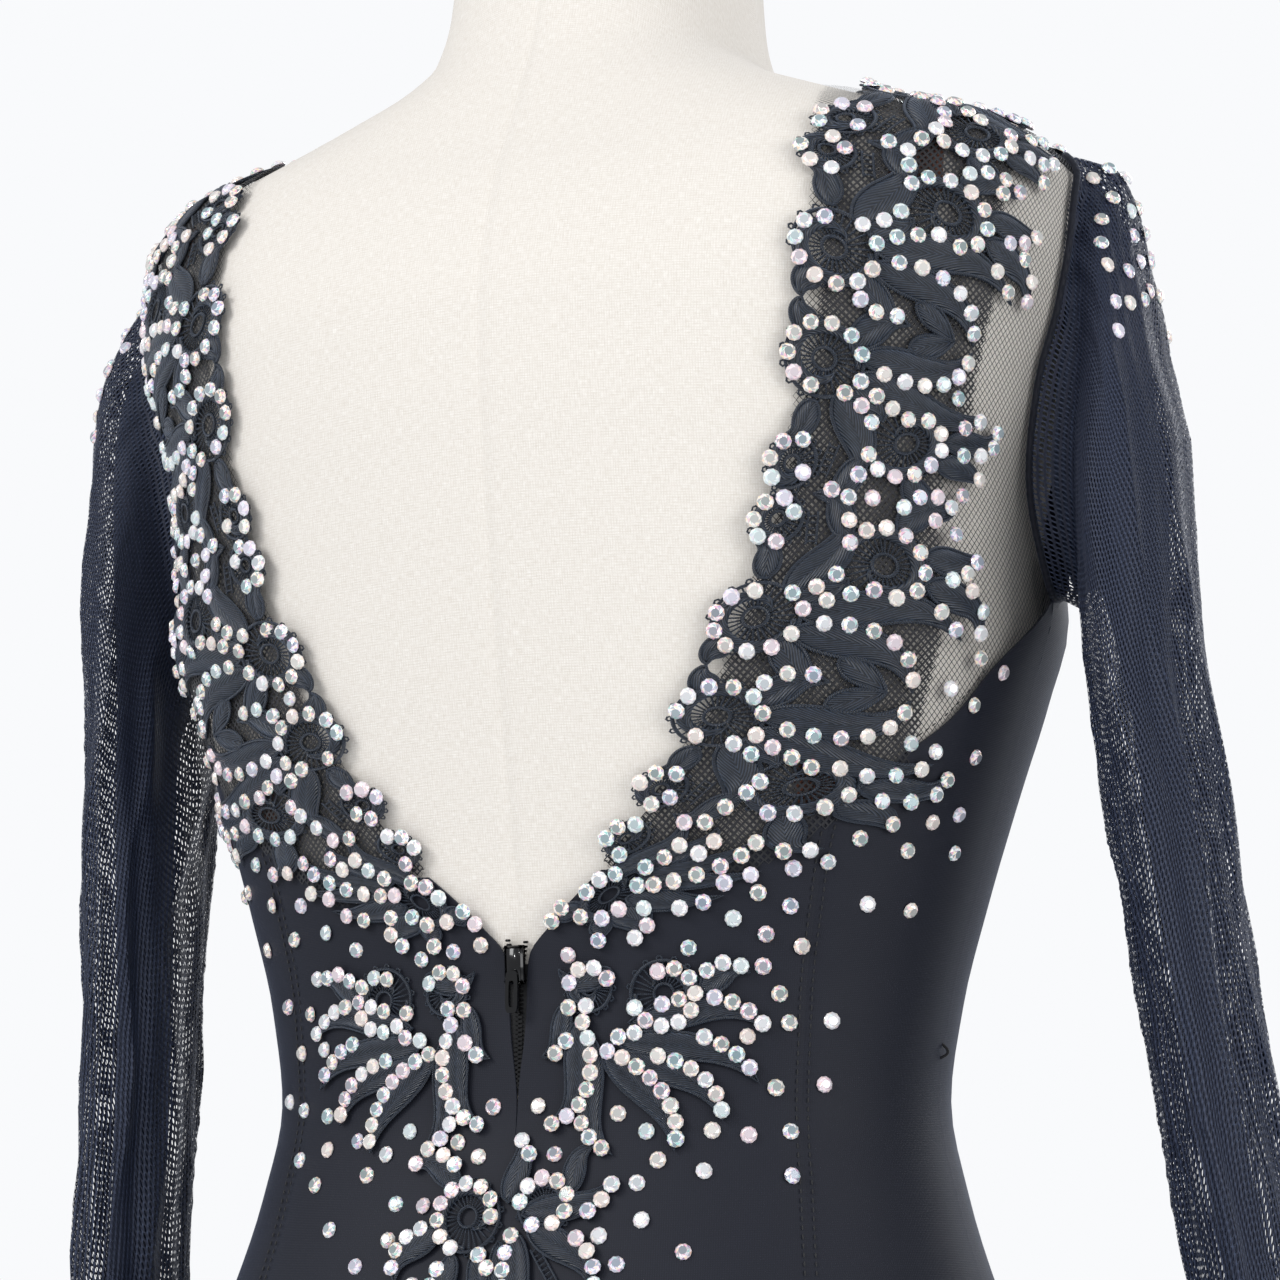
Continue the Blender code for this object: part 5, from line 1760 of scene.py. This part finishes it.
    def build(self, motif: Motif, lay: Lay, side: Side, name: str) -> bpy.types.Object:
        """Make a motif's mesh on the dress.

        Args:
            motif: Its layout.
            lay: Where it lies.
            side: Which side.
            name: Object's name.

        Returns:
            The finished object.
        """
        for number, scroll in enumerate(motif.scrolls):
            self.scroll(scroll, self.LIFT + 0.05 * number)
        for number, leaf in enumerate(motif.leaves):
            self.leaf(leaf, self.LIFT + 0.1 + 0.12 * (number % 3))
        for first, last, width in motif.ladders:
            self.ladder(first, last, width, self.LIFT)
        flat = np.concatenate(self.points)
        obj = make_object(name, lay.points(flat, side), self.faces, SATIN, np.concatenate(self.uv))
        mend(obj)
        return obj


class Stones:
    """Collects places for crystals and sets them all at once."""

    # Pale tints for each stone: painted iridescent reflections of the coat.
    TINTS = ("#FFFFFF", "#FFF7EE", "#FFEFF3", "#FFFFFF", "#F0FBFA", "#FFFAF1", "#F9F4FF", "#FFF3EA")
    # Painted reflections of each facet: white glints, coloured iridescence and grey reflections of a
    # dark room; the table's darker grey is a painted reflection too.
    FACETS = ("#FFFFFF", "#C6CFD6", "#FFFFFF", "#F4C3D8", "#8F9AA4", "#FFFFFF", "#A9DDD6", "#FFFFFF",
              "#C7B6DE", "#FFF3D2", "#FFFFFF", "#AEBBC4", "#FFE0C8")
    TABLE = "#8B9AA0"
    SIDES = 10
    DIAMETER = 5.9
    APART = 5.6
    PITCH = 5.85
    RISE = 2.3
    PRESSED = 0.3
    TILT = 0.09
    REACH = 5.0
    LOOSE_TRIES = 2600
    SLEEVE_TRIES = 160
    SLEEVE_APART = 9.5

    def __init__(self) -> None:
        """Start with no stones and a fixed seed."""
        self.rows: list[PointRow] = []
        self.places = np.zeros((0, 3))
        self.random = np.random.default_rng(11)
        self.lace = self.places
        self.threads: BVHTree | None = None

    def try_at(self, lay: Lay, flat: np.ndarray, side: Side) -> None:
        """Add a stone at each flat place that is clear of those already there.

        Args:
            lay: Patch the places are on.
            flat: Rows of along, across and rise.
            side: Which side.
        """
        for place, normal in zip(lay.points(flat, side), lay.normals(flat, side)):
            if self.nearest(place) >= self.APART:
                self.add(place, normal)

    def add(self, place: np.ndarray, normal: np.ndarray) -> None:
        """Add one stone with its own tilt, turn, painted iridescent tint and painted glint."""
        self.places = np.vstack((self.places, place))
        facing = unit(normal + self.random.normal(0, self.TILT, 3))
        heading = unit(np.cross(facing, self.random.normal(0, 1, 3)))
        tint = linear(self.TINTS[int(self.random.integers(len(self.TINTS)))])[:3]
        # Painted glint: share by which this stone's facets are whitened.
        gleam = float(self.random.choice((0.0, 0.1, 0.35, 0.6)))
        self.rows.append(PointRow(place, facing, heading, tint, gleam))

    def settle(self, pieces: list[bpy.types.Object]) -> None:
        """Set each stone so far on the thread under it.

        Args:
            pieces: Lace that the stones are on.
        """
        points: list[Vector] = []
        faces: list[tuple[int, ...]] = []
        for piece in pieces:
            start = len(points)
            points += [vertex.co.copy() for vertex in piece.data.vertices]
            faces += [tuple(start + k for k in face.vertices) for face in piece.data.polygons]
        self.threads = BVHTree.FromPolygons(points, faces)
        reach = self.REACH * MM
        for number, row in enumerate(self.rows):
            beside = np.cross(row.normal, row.tangent)
            steps = [np.zeros(3)] + [way * 1.7 * MM * hand for way in (row.tangent, beside)
                                     for hand in (1, -1)]
            depths = []
            for step in steps:
                start = Vector(row.place + step + row.normal * reach)
                depth = self.threads.ray_cast(start, Vector(-row.normal), 2 * reach)[3]
                if depth is not None:
                    depths.append(depth)
            rise = reach - min(depths) if depths else -1.0 * MM
            place = row.place + row.normal * (rise - self.PRESSED * MM)
            self.rows[number] = replace(row, place=place)

    def nearest(self, place: np.ndarray) -> float:
        """Distance to the nearest stone, in millimetres."""
        if not len(self.places):
            return math.inf
        return float(np.min(np.linalg.norm(self.places - place, axis=1))) / MM

    def along_edge(self, edge: np.ndarray, lay: Lay, side: Side, start: float) -> None:
        """Row of stones along a flat edge.

        Args:
            edge: Flat points.
            lay: Patch that the points are on.
            side: Which side.
            start: Place of the first stone along the edge.
        """
        run = run_along(edge)
        at = np.arange(start, run[-1], self.PITCH)
        row = np.stack([np.interp(at, run, edge[:, k]) for k in (0, 1)], axis=1)
        self.try_at(lay, np.column_stack((row, np.full(len(row), self.RISE))), side)

    def on_motif(self, motif: Motif, lay: Lay, side: Side) -> None:
        """Rows of stones round the scrolls and along the leaves."""
        for scroll in motif.scrolls:
            share = np.linspace(0, 1, 60)
            sweep = np.radians(scroll.tail - 130 + 270 * share)
            reach = scroll.radius - 1.0 - scroll.radius * 0.3 * share ** 4
            ring = on_circle(sweep) * reach[:, None]
            self.along_edge(np.array(scroll.centre) + ring, lay, side, 1.0)
        for leaf in motif.leaves[:9]:
            share = np.linspace(0, 1, 41)
            path = leaf.middle(share)
            beside = left_of(headings(path))
            swell = leaf.breadth / 2 * np.sin(math.pi * share ** 0.72)[:, None]
            hand = 1 if leaf.bow > 0 else -1
            self.along_edge(path + beside * hand * swell, lay, side, 1.5)

    def scatter(self, side: Side) -> None:
        """Single stones round the lace, closer together near it."""
        outs = self.random.uniform(4, 160, self.LOOSE_TRIES)
        heights = self.random.uniform(-175, 262, self.LOOSE_TRIES)
        edge = np.array(Edges.OPENING, dtype=float)
        shoulder_edge = Band.ROWS[8][2] - 4
        loose: list[np.ndarray] = []
        for out, height in zip(outs, heights):
            if height > 57 and out < np.interp(height, edge[:, 1], edge[:, 0]) + 5:
                continue
            if 0 < height < 64 and out < 13:
                continue
            turn, level = FIGURE.back(out, height)
            place = FIGURE.skin(turn, level, 0.15) * side.flip
            facing = FIGURE.normal(turn, level) * side.flip
            over = Vector(place + facing * 6 * MM)
            if self.threads.find_nearest(Vector(place), 4.5 * MM)[0] is not None:
                continue
            if self.threads.ray_cast(over, Vector(-facing), 7 * MM)[0] is not None:
                continue
            gap = self.lace_gap(place)
            if not 6.5 < gap < (34 if height < 90 else 26):
                continue
            spacing = 6.6 + 0.3 * gap
            if loose and np.min(np.linalg.norm(np.array(loose) - place, axis=1)) < spacing * MM:
                continue
            if turn > 80 or (height > 280 and out > shoulder_edge):
                continue
            loose.append(place)
            self.add(place, facing)

    def lace_gap(self, place: np.ndarray) -> float:
        """Distance to the nearest stone of the lace, in millimetres."""
        return float(np.min(np.linalg.norm(self.lace - place, axis=1))) / MM

    def on_sleeve(self, sleeve: "Sleeve") -> None:
        """Single stones on the sleeve head.

        Args:
            sleeve: Finished sleeve.
        """
        points, normals = sleeve.surface
        around = points.shape[1]
        for _ in range(self.SLEEVE_TRIES):
            row = int(self.random.integers(4, 17))
            column = int(self.random.integers(-around // 11, around // 7)) % around
            place = points[row, column] + normals[row, column] * 0.2 * MM
            if self.nearest(place) > self.SLEEVE_APART:
                self.add(place, normals[row, column])

    def model(self) -> bpy.types.Object:
        """One crystal a unit across: a table, sloping facets and a girdle, with painted reflections:
        a darker grey table and white, grey and tinted facets.
        """
        bm = bmesh.new()
        sides = self.SIDES
        turn = math.pi / sides
        rings = ((0.5, 0.0, 0.0), (0.5, 0.07, 0.0), (0.40, 0.22, turn), (0.25, 0.33, 0.0))
        loops = [[bm.verts.new((r * math.cos(2 * turn * k + shift),
                                r * math.sin(2 * turn * k + shift), z))
                  for k in range(sides)] for r, z, shift in rings]
        for a, b in zip(loops, loops[1:]):
            for k in range(sides):
                n = (k + 1) % sides
                bm.faces.new((a[k], a[n], b[k]))
                bm.faces.new((a[n], b[n], b[k]))
        bm.faces.new(loops[0][::-1])
        bm.faces.new(loops[-1])
        bmesh.ops.recalc_face_normals(bm, faces=bm.faces)
        mesh = bpy.data.meshes.new("crystal_model")
        bm.to_mesh(mesh)
        bm.free()
        layer = mesh.attributes.new("facet", "FLOAT_COLOR", "CORNER")
        colours = []
        for face in mesh.polygons:
            table = face.normal.z > 0.95
            # The table takes its darker painted reflection, the other facets their painted glints
            # and reflections.
            tone = self.TABLE if table else self.FACETS[face.index % len(self.FACETS)]
            colours += [linear(tone)] * face.loop_total
        layer.data.foreach_set("color", np.array(colours, dtype=np.float32).ravel())
        return link("crystal_model", mesh)

    def build(self) -> None:
        """Set every stone."""
        piece = self.model()
        size = self.DIAMETER * MM
        repeater = Repeater("crystal_setting", piece, CRYSTAL, size, 0.03 * size, 5)
        obj = repeater.spread_over("crystals", self.rows)
        bpy.data.objects.remove(piece)
        obj.data.shade_flat()
        seat(obj, "crystal")


@dataclass
class Trimming:
    """All the lace and crystals."""

    cells: int = 7
    gap: float = 0.4
    half_length: float = 27.0
    sleeves: tuple["Sleeve", ...] = ()

    def build(self) -> None:
        """Make the motifs, then the crystals."""
        stones = Stones()
        pieces: list[bpy.types.Object] = []
        band = Band()
        cell = band.length / self.cells
        squeeze = (cell - self.gap) / 2 / self.half_length
        for side in Side:
            self.ground(band, side)
            for number in range(self.cells):
                lay = Cell(band, cell * (number + 0.5), squeeze, -1 if number % 2 else 1)
                motif = FOOT if number == 0 else SPRAY
                name = f"{side.word}_{number + 1}"
                pieces.append(self.motif(motif, lay, side, name, f"lace_{name}", stones))
            pieces.append(self.motif(FLANK, Spray(48.0, 12.0), side, f"flank_{side.word}",
                                     f"lace_flank_{side.word}", stones))
        pieces.append(self.motif(CENTRE, Spray(0.0, -44.0), Side.LEFT, "centre", "lace_centre",
                                 stones))
        stones.settle(pieces)
        stones.lace = stones.places
        for side in Side:
            stones.scatter(side)
        for sleeve in self.sleeves:
            stones.on_sleeve(sleeve)
        stones.build()

    def ground(self, band: Band, side: Side) -> None:
        """Close net ground that the motifs of the band are sewn on.

        Args:
            band: The strip.
            side: Side of the body.
        """
        along = np.linspace(34, band.length - 6, 44)
        inner, outer = band.spread(along, along * 0 + 7), band.spread(along, along * 0 + 54)
        outline = np.concatenate((np.stack(inner, axis=1), np.stack(outer, axis=1)[::-1]))
        net = Net((1.35, 1.35), 0.75, 0.3)
        seat(net.build(f"lace_ground_{side.word}", outline, side), "lace")

    def motif(self, motif: Motif, lay: Lay, side: Side, name: str, node: str,
              stones: Stones) -> bpy.types.Object:
        """One motif with its stones."""
        obj = Lace().build(motif, lay, side, f"guipure_{name}")
        seat(obj, "lace", node)
        stones.on_motif(motif, lay, side)
        return obj


@dataclass
class Zip:
    """Short zip at the foot of the opening: tape, teeth, slider and pull tab."""

    tape_half: float = 8.5
    tape_low: float = 2.0
    tape_high: float = 46.0
    tooth_pitch: float = 1.5
    closed_to: float = 42.0
    tab_around: int = 32

    def build(self) -> None:
        """Make the zip's pieces."""
        self.tape()
        self.teeth()
        self.slider()
        self.tab()

    def tape(self) -> None:
        """Woven tape behind both edges of the opening."""
        out, height = np.meshgrid(np.linspace(-self.tape_half, self.tape_half, 15),
                                  np.linspace(self.tape_low, self.tape_high, 40))
        turn, level = FIGURE.back(out, height)
        outer, inner = FIGURE.skin(turn, level, -1.1), FIGURE.skin(turn, level, -1.4)
        obj = wall("zip_tape", outer, inner, TAPE)
        declare_sheet(outer)
        seat(obj, "jersey")

    def teeth(self) -> None:
        """Two rows of teeth, meshed below the slider and parting above it."""
        bpy.ops.mesh.primitive_cube_add(size=1.0)
        piece = bpy.context.object
        piece.data.transform(((1.9, 0, 0, 0), (0, 0.85, 0, 0), (0, 0, 0.9, 0), (0, 0, 0, 1)))
        bm = bmesh.new()
        bm.from_mesh(piece.data)
        bmesh.ops.bevel(bm, geom=bm.edges, offset=0.2, segments=2, affect="EDGES")
        bm.to_mesh(piece.data)
        bm.free()
        rows = []
        for number, height in enumerate(np.arange(4.0, 55.0, self.tooth_pitch / 2)):
            hand = 1 if number % 2 else -1
            apart = 0.75 + max(0.0, height - self.closed_to) * 0.22
            turn, level = FIGURE.back(hand * apart, height)
            normal = FIGURE.normal(turn, level)
            rows.append(PointRow(FIGURE.skin(turn, level, -0.65), normal, np.array((1.0, 0, 0))))
        obj = Repeater("zip_tooth_row", piece, ZIP_BLACK, MM).spread_over("zip_teeth", rows)
        bpy.data.objects.remove(piece)
        seat(obj, "zip_metal", "zip_chain")

    def slider(self) -> None:
        """Slider with rounded edges and a bridge that holds the tab."""
        source = bpy.data.objects["zip_slider"]
        mesh = source.data.copy()
        bm = bmesh.new()
        bm.from_mesh(mesh)
        bmesh.ops.remove_doubles(bm, verts=bm.verts, dist=WELD)
        bmesh.ops.dissolve_limit(bm, angle_limit=0.02, verts=bm.verts, edges=bm.edges)
        bmesh.ops.bevel(bm, geom=bm.edges, offset=0.7 * MM, segments=3, affect="EDGES")
        bmesh.ops.recalc_face_normals(bm, faces=bm.faces)
        bm.to_mesh(mesh)
        bm.free()
        mesh.materials.clear()
        mesh.materials.append(Paints.of(ZIP_BLACK))
        mesh.shade_smooth()
        mesh.set_sharp_from_angle(angle=math.radians(40))
        seat(link("slider_body", mesh), "zip_metal", "zip_slider")

    def tab(self) -> None:
        """Thin pull tab with a long slot, hanging from its hinge."""
        low, high = (np.array(corner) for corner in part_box("zip_pull_tab"))
        middle = (low + high) / 2
        half = (high - low) / 2
        square = on_circle(circle(self.tab_around))
        square /= (np.abs(square) ** 5).sum(axis=1, keepdims=True) ** (1 / 5)
        outer = square * np.array((half[0], half[2]))
        inner = square * np.array((half[0] * 0.45, half[2] * 0.62)) - np.array((0, half[2] * 0.1))
        rings = []
        for depth in (-1.0, 1.0):
            for flat in (outer, inner):
                y = np.full(self.tab_around, middle[1] + depth * half[1])
                rings.append(np.stack((middle[0] + flat[:, 0], y, middle[2] + flat[:, 1]), axis=1))
        order = (0, 1, 3, 2, 0)
        points = np.concatenate([rings[k] for k in order])
        faces = grid_faces(len(order), self.tab_around, True)
        obj = make_object("pull_tab_slotted", points, faces, ZIP_BLACK)
        mend(obj, WELD / 10)
        obj.data.set_sharp_from_angle(angle=math.radians(40))
        seat(obj, "zip_metal", "zip_pull_tab", body=TAB_BODY)


@dataclass
class Studio:
    """Camera, light and floor."""

    azimuth: float = 203.0
    elevation: float = -10.0
    distance: float = 1.2
    focal: float = 90.0
    aim_height: float = 173.0
    aim_shift: float = -10.0
    sky: float = 0.62
    lights_aim: float = 1.15

    def build(self) -> None:
        """Make the camera, lights, floor and pale surroundings."""
        self.camera()
        self.lights()
        self.floor()

    def camera(self) -> None:
        """Camera at the photo's angle to the back."""
        a, e = math.radians(self.azimuth), math.radians(self.elevation)
        back = Vector((math.sin(a) * math.cos(e), -math.cos(a) * math.cos(e), math.sin(e)))
        right = Vector((math.cos(a), math.sin(a), 0))
        aim = Vector((0, 0, (WAIST + self.aim_height) * MM)) - right * self.aim_shift * MM
        data = bpy.data.cameras.new("photo_camera")
        data.lens = self.focal
        data.sensor_width = 36.0
        data.clip_start = 0.05
        cam = link("photo_camera", data)
        cam.location = aim + back * self.distance
        cam.rotation_mode = "QUATERNION"
        cam.rotation_quaternion = (-back).to_track_quat("-Z", "Y")
        bpy.context.scene.camera = cam

    def lights(self) -> None:
        """Soft panels round the back, and small bright ones that sparkle in the stones."""
        world = bpy.data.worlds.new("pale_studio")
        world.use_nodes = True
        tree = world.node_tree
        seen = tree.nodes["Background"]
        seen.inputs[0].default_value = linear("#F9FAFC")
        seen.inputs[1].default_value = 1.0
        given = add_node(tree, "ShaderNodeBackground", {}, {
            "Color": linear("#F4F7FC"), "Strength": self.sky})
        ray = add_node(tree, "ShaderNodeLightPath")
        mix = add_node(tree, "ShaderNodeMixShader", {}, {
            0: output(ray, "Is Camera Ray"), 1: given.outputs[0], 2: seen.outputs[0]})
        end = next(node for node in tree.nodes if node.type == "OUTPUT_WORLD")
        tree.links.new(mix.outputs[0], end.inputs[0])
        bpy.context.scene.world = world
        bpy.context.scene.view_settings.view_transform = "Standard"
        for name, place, power, size in (
                ("key", (1.5, 2.1, 2.5), 37.0, 1.1), ("fill", (-2.2, 0.9, 1.4), 24.0, 1.4),
                ("spark_left", (0.6, 2.6, 1.9), 7.0, 0.1),
                ("spark_right", (-0.9, 2.4, 2.3), 6.0, 0.1),
                ("front", (-0.6, -2.4, 2.2), 18.0, 1.4)):
            data = bpy.data.lights.new(name, "AREA")
            data.energy = power
            data.size = size
            lamp = link(name, data)
            lamp.location = place
            aim = Vector((0, 0, self.lights_aim)) - Vector(place)
            lamp.rotation_mode = "QUATERNION"
            lamp.rotation_quaternion = aim.to_track_quat("-Z", "Y")

    def floor(self) -> None:
        """Plain pale floor."""
        bpy.ops.mesh.primitive_plane_add(size=8.0, location=(0, 0, -0.0005))
        floor = bpy.context.object
        floor.name = "floor"
        material = bpy.data.materials.new("floor_pale")
        material.use_nodes = True
        shader = material.node_tree.nodes["Principled BSDF"]
        shader.inputs["Base Color"].default_value = linear("#EEF0F2")
        shader.inputs["Roughness"].default_value = 0.7
        floor.data.materials.append(material)


def main() -> None:
    """Build the studio and every piece in order."""
    logging.basicConfig(level=logging.INFO, format="%(asctime)s %(name)s %(message)s")
    Studio().build()
    Form().build()
    Bodice().build()
    sleeves = (Sleeve(Side.LEFT, slim=0.8, hang=Sleeve.LEFT_HANG),
               Sleeve(Side.RIGHT, math.tan(math.radians(7.0)), hang=Sleeve.RIGHT_HANG))
    for sleeve in sleeves:
        sleeve.build()
    Skirt().build()
    Zip().build()
    Trimming(sleeves=sleeves).build()


if __name__ == "__main__":
    main()
